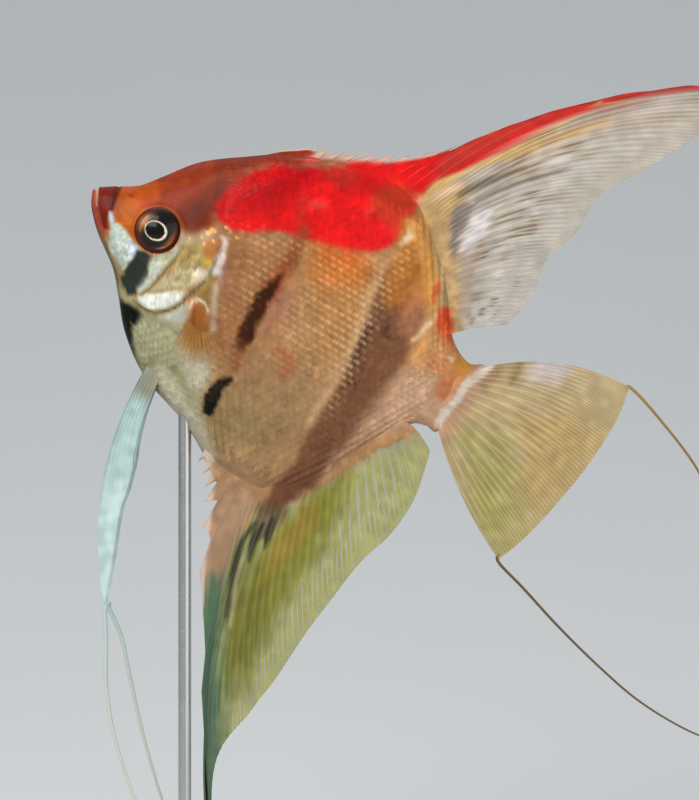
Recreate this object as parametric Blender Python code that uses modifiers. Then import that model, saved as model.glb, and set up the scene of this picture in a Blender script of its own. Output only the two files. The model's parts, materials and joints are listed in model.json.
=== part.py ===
"""A freshwater angelfish as a still, life-size museum model, nose up on a one-rod display stand.

The fish is drawn in its own side plane: x runs from the snout to the tail, z is up and y is the
fish's right. One empty, fish_pose, pitches that plane nose up and sets it above the stand.
The stand is drawn in the world frame, with the origin at the middle of the base's underside.
"""

import math

import bmesh
import bpy
from mathutils import Vector

MM = 0.001
GAP = 0.3  # clearance between neighbouring pieces, in millimetres as all sizes below

# The whole fish and how it is held
BODY_LENGTH = 80.0  # snout to the root of the tail fin
PITCH = math.radians(30.0)  # nose up
SNOUT_PLACE = (-33.6, 0.0, 143.5)

BASE_SIZE = (116.0, 62.0, 6.0)
BASE_CORNER = 14.0
BASE_CHAMFER = 0.8
ROD_X = -16.2
ROD_RADIUS = 1.25
ROD_TOP = 105.5
FOOT_RADIUS = 6.0
FOOT_HEIGHT = 2.6
FOOT_RECESS = 0.9

# Cross sections of the body from lips to tail root: top edge, bottom edge, half thickness.
SECTIONS = {
    "lip_tip": ((-0.5, 0.6), (-0.5, 0.6), 0.0),
    "lips": ((0.9, 2.3), (0.9, -2.3), 1.9),
    "snout": ((3.6, 4.0), (4.6, -6.1), 3.1),
    "before_eye": ((6.8, 6.1), (10.1, -10.2), 4.3),
    "eye": ((9.6, 9.5), (13.8, -14.4), 5.1),
    "nape": ((14.5, 15.6), (18.6, -20.0), 6.0),
    "shoulder": ((21.4, 20.8), (25.9, -25.2), 6.8),
    "chest": ((30.0, 26.4), (37.0, -29.1), 7.1),
    "belly": ((40.1, 29.8), (46.2, -33.7), 6.6),
    "back": ((49.5, 31.0), (56.2, -33.1), 5.6),
    "loin": ((56.9, 28.7), (63.4, -26.6), 4.6),
    "hind": ((63.6, 22.9), (67.2, -18.7), 3.8),
    "flank_end": ((68.7, 16.6), (70.7, -12.3), 3.2),
    "stalk": ((72.8, 10.7), (74.0, -7.7), 2.7),
    "stalk_end": ((77.6, 8.1), (76.6, -6.5), 2.2),
    "tail_root": ((81.0, 9.1), (79.2, -6.1), 1.3),
    "end": ((79.4, 1.6), (79.4, 1.6), 0.0),
}
BODY_RINGS = 36
BODY_AROUND = 22
HEAD_ROUNDNESS = 1.0  # an exponent: 1 is an ellipse, more gives a sharper back and keel
TAIL_ROUNDNESS = 1.35

EYE_PLACE = (13.7, 0.2)
EYE_RADIUS = 4.5
EYE_DEPTH = 2.1
EYE_OUT = 4.5  # the middle of the eyeball, out from the fish's mid-plane

# Lines along which the body is parted, each running past the body at both ends.
NECK_LINE = [
    (12.9, 19.5), (20.5, 10.8), (25.7, 6.1), (27.8, 3.0), (28.5, -0.4),
    (26.6, -7.0), (22.0, -12.7), (16.4, -14.6), (10.5, -16.6),
]
TRUNK_LINE = [(36.1, 36.0), (44.7, -38.0)]
STALK_LINE = [(71.3, 36.0), (75.3, -38.0)]
CHEEK_LINE = [(1.2, 5.6), (3.9, 1.2), (5.6, -3.3), (6.4, -5.9)]
MOUTH_LINE = [(-1.3, 3.5), (0.2, 1.2), (1.9, -1.1), (4.3, -4.1), (6.4, -5.9)]
CHIN_LINE = [(6.4, -5.9), (8.5, -7.8), (10.2, -10.3), (10.4, -14.4)]
GILL_COVER = [
    (30.6, 3.4), (26.0, 4.6), (22.5, 3.2), (20.1, 0.2), (19.2, -4.2), (18.3, -8.8), (17.9, -12.2),
    (18.7, -17.0), (25.0, -16.0), (31.5, -6.0),
]
GILL_COVER_INSIDE = 3.6  # how near to the mid-plane the gill covers reach

# Fins. Rays run from a root line to an edge line, both listed from the first ray to the last.
# Bend is how strongly the first and the last ray curve, as a share of the ray's length. Lean is
# how far out the fin stands from the mid-plane: at its root, as it bends, and at its edge's ends.
DORSAL_SPINES = {
    "root": [(29.4, 25.4), (35.7, 27.9), (42.4, 29.6), (49.6, 30.2), (54.6, 29.2)],
    "edge": [
        (30.3, 27.7), (34.7, 30.3), (37.6, 31.4), (40.2, 32.6), (43.0, 33.8), (46.1, 35.6),
        (48.9, 37.0), (52.4, 39.9), (55.8, 43.3), (60.4, 49.2), (68.0, 57.8), (78.2, 67.4), (88.2, 74.9),
    ],
    "bend": (0.0, 0.158),
    "rays": 12, "rows": 4, "lappet": 1.3, "plain_after": 9, "root_thick": 1.3, "edge_thick": 0.6, "inside": 1.6,
    "lean": (0.0, 0.0, 0.0, 0.0),
}
DORSAL_RAYS = {
    "root": [(55.2, 29.2), (59.4, 27.8), (63.3, 23.6), (67.3, 18.0), (72.2, 11.2)],
    "edge": [
        (110.3, 85.2), (96.7, 71.0), (89.1, 57.5), (83.5, 48.0), (83.2, 39.8),
        (81.0, 32.5), (82.0, 24.8), (80.6, 18.0),
    ],
    "bend": (0.22, 0.065),
    "rays": 11, "rows": 6, "lappet": 0.0, "plain_after": 0, "root_thick": 1.5, "edge_thick": 0.55, "inside": 1.6,
    "lean": (0.0, 0.0, -2.2, 0.6),
}
ANAL_SPINES = {
    "root": [(42.6, -32.0), (45.2, -33.2), (48.1, -33.8), (51.0, -33.9), (53.6, -33.6)],
    "edge": [
        (42.6, -34.0), (44.7, -35.6), (46.1, -37.7), (47.4, -40.2), (49.6, -44.2),
        (53.4, -52.1), (65.0, -71.4),
    ],
    "bend": (0.0, -0.058),
    "rays": 6, "rows": 4, "lappet": 1.3, "plain_after": 6, "root_thick": 1.3, "edge_thick": 0.6, "inside": 1.6,
    "lean": (0.0, 0.0, 0.0, 0.0),
}
ANAL_RAYS = {
    "root": [(54.2, -33.5), (60.1, -31.1), (64.8, -24.0), (69.2, -14.7), (74.4, -7.7)],
    "edge": [
        (86.7, -104.6), (74.5, -83.2), (75.1, -70.2), (76.1, -62.5), (76.7, -52.5),
        (77.8, -43.4), (79.0, -35.0), (81.2, -27.9), (81.8, -19.7), (79.9, -10.3),
    ],
    "bend": (-0.127, 0.1),
    "rays": 11, "rows": 6, "lappet": 0.0, "plain_after": 0, "root_thick": 1.5, "edge_thick": 0.55, "inside": 1.6,
    "lean": (0.0, 0.0, 2.0, -0.6),
}
TAIL_FIN = {
    "root": [(81.0, 9.0), (78.9, 5.4), (78.4, 1.6), (78.5, -2.4), (79.2, -6.0)],
    "edge": [
        (106.9, 19.4), (107.8, 14.1), (107.9, 8.1), (107.2, 0.4), (105.8, -7.8),
        (104.0, -15.4), (101.7, -21.6),
    ],
    "bend": (0.188, -0.093),
    "rays": 10, "rows": 5, "lappet": 0.0, "plain_after": 0, "root_thick": 1.8, "edge_thick": 0.55, "inside": 1.6,
    "lean": (0.0, 0.4, 2.4, 2.4),
}
PELVIC_FIN = {
    "root": [(25.2, -24.4), (26.8, -24.5), (28.6, -24.4)],
    "edge": [(41.2, -66.6), (38.2, -58.2), (34.8, -49.5), (34.0, -45.4), (32.6, -40.5)],
    "bend": (-0.182, -0.088),
    "rays": 4, "rows": 6, "lappet": 0.0, "plain_after": 0, "root_thick": 1.6, "edge_thick": 0.7, "inside": 1.6,
    "lean": (1.7, 2.2, 2.9, 4.1),
}
PECTORAL_FIN = {
    "root": [(27.8, -11.2), (29.4, -11.9), (31.2, -11.7), (32.6, -10.6)],
    "edge": [(28.6, -23.2), (33.2, -25.7), (38.0, -24.6), (40.9, -20.3), (40.6, -14.8)],
    "bend": (-0.04, 0.06),
    "rays": 7, "rows": 4, "lappet": 0.0, "plain_after": 0, "root_thick": 1.5, "edge_thick": 0.55, "inside": 0.0,
    "lean": (5.8, 9.4, 10.8, 10.4),
}

# Loose streamers: side-plane points from the fin's corner to the tip, then how far out they start
# and end from the mid-plane, and the two end radii.
STREAMERS = {
    "tail_streamer_upper": (
        [(107.4, 19.4), (114.5, 17.2), (125.5, 12.6), (136.5, 5.4), (145.5, -3.6)], (2.4, 4.4), (0.42, 0.27)),
    "tail_streamer_lower": (
        [(102.0, -22.1), (108.5, -24.0), (118.0, -27.0), (128.4, -29.7), (138.5, -31.6),
         (149.3, -31.8), (159.4, -30.2)], (2.4, 3.6), (0.38, 0.27)),
    "pelvic_filament_left": (
        [(41.7, -67.2), (44.7, -71.9), (48.5, -78.4), (53.2, -84.5), (58.3, -89.6),
         (64.7, -94.9), (72.0, -99.4), (76.0, -101.6)], (-2.9, -5.6), (0.5, 0.27)),
    "pelvic_filament_right": (
        [(41.9, -67.0), (46.6, -70.6), (52.4, -77.1), (58.9, -84.2), (66.0, -91.2),
         (71.8, -96.4), (75.0, -99.2)], (2.9, 5.6), (0.5, 0.27)),
}
STREAMER_POINTS = 15

# Colour, roughness, metallic
FINISHES = {
    "back_orange": ((0.52, 0.12, 0.05), 0.35, 0.0),
    "flank_tan": ((0.55, 0.36, 0.20), 0.35, 0.1),
    "cheek_silver": ((0.72, 0.72, 0.60), 0.28, 0.3),
    "lip_brown": ((0.38, 0.13, 0.07), 0.4, 0.0),
    "eye_black": ((0.02, 0.02, 0.02), 0.08, 0.0),
    "fin_red": ((0.75, 0.06, 0.06), 0.4, 0.0),
    "fin_clear": ((0.66, 0.60, 0.50), 0.4, 0.0),
    "pelvic_white": ((0.72, 0.82, 0.82), 0.35, 0.0),
    "stand_wood": ((0.035, 0.03, 0.028), 0.35, 0.0),
    "stand_steel": ((0.62, 0.62, 0.60), 0.25, 1.0),
}


def clear_scene():
    for obj in list(bpy.data.objects):
        bpy.data.objects.remove(obj)


def collection(name):
    made = bpy.data.collections.new(name)
    bpy.context.scene.collection.children.link(made)
    return made


def finish(name):
    """The material of that name, made on first use."""
    if name in bpy.data.materials:
        return bpy.data.materials[name]
    colour, roughness, metallic = FINISHES[name]
    material = bpy.data.materials.new(name)
    material.use_nodes = True
    shader = material.node_tree.nodes["Principled BSDF"]
    shader.inputs["Base Color"].default_value = (*colour, 1.0)
    shader.inputs["Roughness"].default_value = roughness
    shader.inputs["Metallic"].default_value = metallic
    return material


def curve_point(points, t):
    """A point at t, 0 to 1, on the smooth (Catmull-Rom) line through the points."""
    spans = len(points) - 1
    place = min(max(t, 0.0), 1.0) * spans
    i = min(int(place), spans - 1)
    s = place - i
    here, there = Vector(points[i]), Vector(points[i + 1])
    before = Vector(points[i - 1]) if i > 0 else 2 * here - there
    after = Vector(points[i + 2]) if i + 2 <= spans else 2 * there - here
    return 0.5 * (
        2 * here
        + (there - before) * s
        + (2 * before - 5 * here + 4 * there - after) * s ** 2
        + (3 * here - before - 3 * there + after) * s ** 3
    )


def smooth_line(points, count):
    return [curve_point(points, i / (count - 1)) for i in range(count)]


def object_of(mesh, name, group, parent=None, material=None):
    obj = bpy.data.objects.new(name, mesh)
    group.objects.link(obj)
    obj.parent = parent
    if material:
        obj.data.materials.append(finish(material))
    return obj


def mesh_from(bm, name):
    mesh = bpy.data.meshes.new(name)
    bm.to_mesh(mesh)
    bm.free()
    mesh.shade_smooth()
    mesh.set_sharp_from_angle(angle=math.radians(40))
    return mesh


def hide_as_cutter(obj):
    obj.hide_render = True
    obj.display_type = "WIRE"
    return obj


def boolean(obj, operation, cutter):
    modifier = obj.modifiers.new(cutter.name, "BOOLEAN")
    modifier.operation = operation
    modifier.object = cutter


def body_surface(t, around, grow):
    """A point on the body: t runs from lips to tail root, around is the angle about the section."""
    tops, bottoms, halves = zip(*SECTIONS.values())
    top, bottom = curve_point(tops, t), curve_point(bottoms, t)
    half = curve_point([(h, 0.0) for h in halves], t).x
    roundness = HEAD_ROUNDNESS + (TAIL_ROUNDNESS - HEAD_ROUNDNESS) * t
    side = math.cos(around)
    middle, reach = (top + bottom) / 2, (top - bottom) / 2
    if reach.length > 0:
        reach += reach.normalized() * grow
    height = middle + reach * math.sin(around)
    width = (max(half, 0.0) + grow) * math.copysign(abs(side) ** roundness, side)
    beyond_tail = grow * max(0.0, t - 0.9) * 10
    return Vector((height.x + beyond_tail, width, height.y))


def body_mesh(name, grow=0.0):
    """The whole body: a sphere whose rings are turned into the body's cross sections."""
    bm = bmesh.new()
    bmesh.ops.create_uvsphere(bm, u_segments=BODY_AROUND, v_segments=BODY_RINGS, radius=1.0)
    for vert in bm.verts:
        t = 1.0 - math.acos(max(-1.0, min(1.0, vert.co.z))) / math.pi
        around = math.atan2(vert.co.y, vert.co.x)
        vert.co = body_surface(t, around, grow) * MM
    return mesh_from(bm, name)


def shrink_outline(outline, by):
    """The closed outline moved inwards by that distance."""
    count = len(outline)
    area = sum(
        outline[i].x * outline[(i + 1) % count].y - outline[(i + 1) % count].x * outline[i].y
        for i in range(count)
    )
    turn = 1.0 if area > 0 else -1.0
    moved = []
    for i, point in enumerate(outline):
        before = (point - outline[i - 1]).normalized()
        after = (outline[(i + 1) % count] - point).normalized()
        first = Vector((-before.y, before.x)) * turn
        second = Vector((-after.y, after.x)) * turn
        inward = (first + second).normalized()
        moved.append(point + inward * by / max(0.4, inward.dot(first)))
    return moved


def prism(name, outline, low, high, group, parent):
    """A cutter: the side-plane outline from y = low to y = high."""
    bm = bmesh.new()
    near = [bm.verts.new(Vector((p.x, low, p.y)) * MM) for p in outline]
    face = bm.faces.new(near)
    raised = bmesh.ops.extrude_face_region(bm, geom=[face])["geom"]
    bmesh.ops.translate(
        bm, verts=[v for v in raised if isinstance(v, bmesh.types.BMVert)], vec=(0, (high - low) * MM, 0)
    )
    bmesh.ops.triangulate(bm, faces=[f for f in bm.faces if len(f.verts) > 4])
    bmesh.ops.recalc_face_normals(bm, faces=bm.faces)
    return hide_as_cutter(object_of(mesh_from(bm, name), name, group, parent))


def build_body(parts, cutters, pose):
    """Head, jaws, gill covers, trunk and tail stalk: regions of one body, parted by thin gaps."""
    wide = 20.0
    neck = smooth_line(NECK_LINE, 22)
    cheek, mouth, chin = (smooth_line(line, 8) for line in (CHEEK_LINE, MOUTH_LINE, CHIN_LINE))
    trunk, stalk = ([Vector(p) for p in line] for line in (TRUNK_LINE, STALK_LINE))
    before = Vector((-6.0, -2.0))
    gill_outline = smooth_line(GILL_COVER + GILL_COVER[:1], 27)[:-1]
    regions = {
        "upper_jaw": ("lip_brown", cheek + mouth[-2::-1]),
        "lower_jaw": ("lip_brown", mouth + chin[1:] + [Vector((-4.0, -12.0)), before]),
        "head": ("back_orange", cheek + chin[1:] + neck[::-1]),
        "trunk_front": ("flank_tan", neck + [Vector((10.0, -40.0))] + trunk[::-1]),
        "trunk_rear": ("flank_tan", trunk + stalk[::-1]),
        "tail_stalk": ("flank_tan", stalk + [Vector((90.0, -38.0)), Vector((90.0, 36.0))]),
    }
    body = body_mesh("body")
    made = {}
    for name, (material, outline) in regions.items():
        obj = object_of(body.copy(), name, parts, pose, material)
        region = prism(name + "_region", shrink_outline(outline, GAP / 2), -wide, wide, cutters, pose)
        boolean(obj, "INTERSECT", region)
        made[name] = obj
    for side, sign in (("left", -1), ("right", 1)):
        low, high = sorted((sign * GILL_COVER_INSIDE, sign * wide))
        slot_low, slot_high = sorted((sign * (GILL_COVER_INSIDE - GAP), sign * wide))
        inner = prism(f"gill_{side}_region", shrink_outline(gill_outline, GAP), low, high, cutters, pose)
        outer = prism(f"gill_{side}_slot", gill_outline, slot_low, slot_high, cutters, pose)
        cover = object_of(body.copy(), f"gill_cover_{side}", parts, pose, "cheek_silver")
        boolean(cover, "INTERSECT", bpy.data.objects["head_region"])
        boolean(cover, "INTERSECT", inner)
        boolean(made["head"], "DIFFERENCE", outer)
    return made


def eyeball_mesh(name, grow=0.0):
    bm = bmesh.new()
    bmesh.ops.create_uvsphere(bm, u_segments=16, v_segments=8, radius=1.0)
    for vert in bm.verts:
        x, y, z = vert.co
        vert.co = Vector((x * (EYE_RADIUS + grow), -z * (EYE_DEPTH + grow), y * (EYE_RADIUS + grow))) * MM
    return mesh_from(bm, name)


def build_eyes(head, parts, cutters, pose):
    for side, sign in (("left", -1), ("right", 1)):
        place = Vector((EYE_PLACE[0], sign * EYE_OUT, EYE_PLACE[1])) * MM
        eye = object_of(eyeball_mesh(f"eye_{side}"), f"eye_{side}", parts, pose, "eye_black")
        socket = object_of(eyeball_mesh(f"socket_{side}", GAP), f"socket_{side}", cutters, pose)
        eye.location = socket.location = place
        boolean(head, "DIFFERENCE", hide_as_cutter(socket))


def ray_point(fin, across, along):
    """A point on the fin's middle sheet. across runs over the rays, along from root to edge."""
    root, edge = curve_point(fin["root"], across), curve_point(fin["edge"], across)
    first, last = fin["bend"]
    chord = edge - root
    control = (root + edge) / 2 + Vector((-chord.y, chord.x)) * (first + (last - first) * across ** 2)
    return root * (1 - along) ** 2 + control * 2 * along * (1 - along) + edge * along ** 2


def lappet_cut(fin, column, ray_length):
    """The share of a ray's length missing from the membrane behind it: a saw tooth per spine."""
    spine, within = divmod(column, 3)
    if not fin["lappet"] or not within or spine >= fin["plain_after"]:
        return 0.0
    return min(0.35, fin["lappet"] / ray_length) * (1.0 if within == 1 else 0.45)


def fin_mesh(name, fin, side=1):
    """An open sheet from a grid. Its thickness group holds ridges along the rays."""
    per_ray = 3 if fin["lappet"] else 2
    columns = fin["rays"] * per_ray
    bm = bmesh.new()
    bmesh.ops.create_grid(bm, x_segments=columns, y_segments=fin["rows"], size=0.5)
    thickness = bm.verts.layers.deform.new()
    out_root, out_middle, out_first, out_last = fin["lean"]
    for vert in bm.verts:
        across, along = vert.co.x + 0.5, vert.co.y + 0.5
        column = round(across * columns)
        ray_length = (ray_point(fin, across, 0.5) - ray_point(fin, across, 0.0)).length * 2
        start = -fin["inside"] / ray_length
        reach = 1.0 - lappet_cut(fin, column, ray_length)
        place = start + (reach - start) * along
        point = ray_point(fin, across, place)
        out_edge = out_first + (out_last - out_first) * across
        out = out_root * (1 - place) ** 2 + out_middle * 2 * place * (1 - place) + out_edge * place ** 2
        vert.co = Vector((point.x, side * out, point.y)) * MM
        thick = fin["root_thick"] + (fin["edge_thick"] - fin["root_thick"]) * along ** 0.6
        ridge = 1.0 if column % per_ray == 0 else 1.0 - 0.25 * along
        vert[thickness][0] = max(thick * ridge, min(thick, 0.5)) / fin["root_thick"]
    return mesh_from(bm, name)


def build_fin(name, fin, material, parts, pose, body_cutter, side=1):
    obj = object_of(fin_mesh(name, fin, side), name, parts, pose, material)
    obj.vertex_groups.new(name="thickness")
    shell = obj.modifiers.new("shell", "SOLIDIFY")
    shell.thickness = fin["root_thick"] * MM
    shell.offset = 0.0
    shell.vertex_group = "thickness"
    boolean(obj, "DIFFERENCE", body_cutter)
    return obj


def build_fins(parts, cutters, pose):
    grown = hide_as_cutter(object_of(body_mesh("grown_body", GAP), "grown_body", cutters, pose))
    build_fin("dorsal_fin_spines", DORSAL_SPINES, "fin_red", parts, pose, grown)
    build_fin("dorsal_fin_rays", DORSAL_RAYS, "fin_clear", parts, pose, grown)
    build_fin("anal_fin_spines", ANAL_SPINES, "flank_tan", parts, pose, grown)
    build_fin("anal_fin_rays", ANAL_RAYS, "fin_clear", parts, pose, grown)
    build_fin("tail_fin", TAIL_FIN, "fin_clear", parts, pose, grown)
    for side, sign in (("left", -1), ("right", 1)):
        build_fin(f"pelvic_fin_{side}", PELVIC_FIN, "pelvic_white", parts, pose, grown, sign)
        build_fin(f"pectoral_fin_{side}", PECTORAL_FIN, "fin_clear", parts, pose, grown, sign)


def build_streamers(parts, pose):
    for name, (route, (out_start, out_end), (radius_start, radius_end)) in STREAMERS.items():
        curve = bpy.data.curves.new(name, "CURVE")
        curve.dimensions = "3D"
        curve.bevel_depth = radius_start * MM
        curve.bevel_resolution = 1
        curve.use_fill_caps = True
        spline = curve.splines.new("POLY")
        spline.points.add(STREAMER_POINTS - 1)
        for i, point in enumerate(smooth_line(route, STREAMER_POINTS)):
            share = i / (STREAMER_POINTS - 1)
            out = out_start + (out_end - out_start) * share
            spline.points[i].co = (*(Vector((point.x, out, point.y)) * MM), 1.0)
            spline.points[i].radius = 1.0 + (radius_end / radius_start - 1.0) * share
        material = "pelvic_white" if name.startswith("pelvic") else "fin_clear"
        object_of(curve, name, parts, pose, material)


def build_base(parts, cutters):
    """The flat base: a rounded slab with a shallow recess that the rod's foot stands in."""
    length, depth, height = (size * MM for size in BASE_SIZE)
    bm = bmesh.new()
    bmesh.ops.create_cube(bm, size=1.0)
    bmesh.ops.scale(bm, verts=bm.verts, vec=(length, depth, height))
    bmesh.ops.translate(bm, verts=bm.verts, vec=(0, 0, height / 2))
    upright = [e for e in bm.edges if abs(e.verts[0].co.z - e.verts[1].co.z) > height / 2]
    bmesh.ops.bevel(
        bm, geom=upright, offset=BASE_CORNER * MM, segments=4, profile=0.5, affect="EDGES", clamp_overlap=True
    )
    top_rim = [
        e for e in bm.edges
        if e.calc_face_angle(0.0) > math.radians(60) and min(v.co.z for v in e.verts) > height / 2
    ]
    bmesh.ops.bevel(bm, geom=top_rim, offset=BASE_CHAMFER * MM, segments=2, profile=0.5, affect="EDGES")
    base = object_of(mesh_from(bm, "stand_base"), "stand_base", parts, None, "stand_wood")
    bm = bmesh.new()
    bmesh.ops.create_cone(
        bm, cap_ends=True, segments=32, radius1=(FOOT_RADIUS + GAP) * MM, radius2=(FOOT_RADIUS + GAP) * MM,
        depth=2 * FOOT_RECESS * MM,
    )
    recess = hide_as_cutter(object_of(mesh_from(bm, "foot_recess"), "foot_recess", cutters))
    recess.location = (ROD_X * MM, 0, height)
    boolean(base, "DIFFERENCE", recess)


def turned(name, profile, steps, group, material=None):
    """A solid of revolution from (radius, height) points listed down the outside."""
    mesh = bpy.data.meshes.new(name)
    points = [(r * MM, 0.0, z * MM) for r, z in profile]
    mesh.from_pydata(points, [(i, i + 1) for i in range(len(points) - 1)], [])
    obj = object_of(mesh, name, group, None, material)
    screw = obj.modifiers.new("turn", "SCREW")
    screw.steps = screw.render_steps = steps
    screw.use_merge_vertices = True
    screw.merge_threshold = 0.00001
    screw.use_smooth_shade = True
    obj.location = (ROD_X * MM, 0, 0)
    return obj


def rod_profile(grow):
    """The rod with a round top and a foot that flares in a quarter-round cove."""
    radius = ROD_RADIUS + grow
    bottom = BASE_SIZE[2] - FOOT_RECESS + GAP
    dome = [
        (radius * math.sin(math.radians(a)), ROD_TOP - radius + grow + radius * math.cos(math.radians(a)))
        for a in range(0, 91, 30)
    ]
    cove = FOOT_HEIGHT
    sweep = [
        (radius + cove * (1 - math.cos(math.radians(a))), bottom + 1.2 + cove * (1 - math.sin(math.radians(a))))
        for a in range(0, 91, 18)
    ]
    foot = [(FOOT_RADIUS - 0.4, bottom + 1.2), (FOOT_RADIUS, bottom + 0.8), (FOOT_RADIUS, bottom), (0.0, bottom)]
    return dome + sweep + foot


def build_rod(trunk, parts, cutters):
    turned("stand_rod", rod_profile(0.0), 14, parts, "stand_steel")
    socket = hide_as_cutter(turned("rod_socket", rod_profile(GAP), 14, cutters))
    boolean(trunk, "DIFFERENCE", socket)


def main():
    clear_scene()
    parts, cutters = collection("freshwater_angelfish"), collection("cutters")
    pose = bpy.data.objects.new("fish_pose", None)
    parts.objects.link(pose)
    pose.location = Vector(SNOUT_PLACE) * MM
    pose.rotation_euler = (0.0, PITCH, 0.0)
    body = build_body(parts, cutters, pose)
    build_eyes(body["head"], parts, cutters, pose)
    build_fins(parts, cutters, pose)
    build_streamers(parts, pose)
    build_base(parts, cutters)
    build_rod(body["trunk_front"], parts, cutters)


main()
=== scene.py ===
"""Looks of the freshwater angelfish: skin, scales, eyes, fins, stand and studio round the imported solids.

Shapes are drawn in the fish's own side plane in millimetres, as the solids are: x runs from the
snout to the tail, z is up and y is the fish's right. to_world() pitches that plane nose up, sets it
above the stand and turns it into metres.
"""

import itertools
import json
import math

import bpy
import numpy as np
from bpy.props import FloatProperty, FloatVectorProperty, IntProperty, PointerProperty
from bpy.types import Operator, Panel, PropertyGroup
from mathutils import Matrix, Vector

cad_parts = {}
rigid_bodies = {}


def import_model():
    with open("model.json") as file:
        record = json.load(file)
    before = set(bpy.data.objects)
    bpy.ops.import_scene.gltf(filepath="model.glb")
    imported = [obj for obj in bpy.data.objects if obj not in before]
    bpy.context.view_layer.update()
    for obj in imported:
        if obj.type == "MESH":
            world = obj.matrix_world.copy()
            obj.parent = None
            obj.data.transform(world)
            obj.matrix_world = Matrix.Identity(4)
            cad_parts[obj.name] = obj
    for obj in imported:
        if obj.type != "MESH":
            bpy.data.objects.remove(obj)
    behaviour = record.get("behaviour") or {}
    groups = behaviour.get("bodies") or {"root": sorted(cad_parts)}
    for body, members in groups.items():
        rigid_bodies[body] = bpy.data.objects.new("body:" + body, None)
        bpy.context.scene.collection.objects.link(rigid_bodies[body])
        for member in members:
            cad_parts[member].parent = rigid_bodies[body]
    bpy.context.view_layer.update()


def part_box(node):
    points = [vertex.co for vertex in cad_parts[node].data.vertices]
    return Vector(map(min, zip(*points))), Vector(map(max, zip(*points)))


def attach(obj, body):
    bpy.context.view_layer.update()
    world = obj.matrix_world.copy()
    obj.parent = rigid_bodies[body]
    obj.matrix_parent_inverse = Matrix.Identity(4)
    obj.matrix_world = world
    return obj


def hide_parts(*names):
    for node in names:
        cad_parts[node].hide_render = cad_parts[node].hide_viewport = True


bl_info = {
    "name": "Freshwater Angelfish Model",
    "version": (1, 0, 0),
    "blender": (4, 5, 0),
    "location": "3D View > Sidebar > Angelfish",
    "description": "Skin, scales, eyes, fins and stand of a life-size angelfish model",
    "category": "Object",
}

for startup_object in list(bpy.data.objects):
    bpy.data.objects.remove(startup_object)
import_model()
BASE_LOW, BASE_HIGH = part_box("stand_base")
ROD_LOW, ROD_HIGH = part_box("stand_rod")

MM = 0.001
PITCH = math.radians(30.0)
SNOUT_PLACE = np.array([-33.6, 0.0, 143.5])  # the side plane's origin in the model's frame, in mm
SIDES = (("left", -1.0), ("right", 1.0))  # each side's name and the sign of its y

# Seeds of the fixed noise, one for each use.
SEED_EDGE_WIDE, SEED_EDGE_FINE = 3, 5
SEED_TONE_WIDE, SEED_TONE, SEED_TONE_FINE = 11, 12, 13
SEED_SPECK, SEED_SPECK_ZONE, SEED_GRAIN = 21, 22, 23
SEED_HIGHLIGHT, SEED_SCALE_TONE, SEED_HIGHLIGHT_CLOUD, SEED_HIGHLIGHT_FLECK = 41, 43, 45, 46
SEED_FIBRES, SEED_EYE_TONE = 51, 52
SEED_STREAKS, SEED_LANES, SEED_FIN_TONE = 61, 62, 63
SEED_WRINKLE_WIDE, SEED_WRINKLE_FINE = 71, 72

# Finish: the pearl of unmarked skin, the painted shade that darkens the skin under the scales, and edges that
# stay sharp.
PLAIN_PEARL, UNDER_SCALE_SHADE = 0.3, 0.10
SKIN_SHARP, SCALE_SHARP, BASE_SHARP = (math.radians(angle) for angle in (50, 40, 35))

# Scales: x of the first and the last column, the step ahead that gives a scale's lie, rows to each side
# of the axis and how they crowd away from it, and the gap to the roots of fins, in mm.
FIRST_COLUMN, LAST_COLUMN, STEP_AHEAD = 13.0, 80.3, 0.6
ROW_COUNT, ROW_CROWDING = 64, 0.975
FIN_CLEARANCE = 2.4
ROOTED_ON_FLANK = ("dorsal_spines", "dorsal_rays", "anal_spines", "anal_rays", "tail")
SCALE_CORNERS, SCALE_RINGS = 12, (0.52, 0.86)
CHART_SPAN, CHART_COLUMNS, CHART_ROWS = (0.03, 15.2 / 16), 640, 181
PATCH = 0.003  # side of one scale's patch on the unwrap, whose own side is 1

# Fins: spines don't branch, as their splits lie beyond the edge.
SPINY = {"splits": (2.0, 2.0), "width": 0.12, "membrane": 0.30}
BIG_FLAP = 8.6  # the dorsal fin's tallest flap, in rays from its first spine

# Stand, in mm.
UNDER_RIM, ROD_SET_IN, ROD_RADIUS, ROD_STEPS, COVE = 0.35, 0.05, 1.25, 64, 2.6

# Studio, in metres: the backdrop's half width, front, back, curve and height, the lit middle and the camera.
BACKDROP = (3.0, -1.6, 0.12, 1.6, 3.4)
LIT_MIDDLE = (0.015, 0.0, 0.105)
TOP_POWER = 0.8
SEEN_WIDTH = 0.152
CAMERA_X, CAMERA_Z = 0.0151, 0.1045

# ---- Shape of the fish, as in its solids ----

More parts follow.
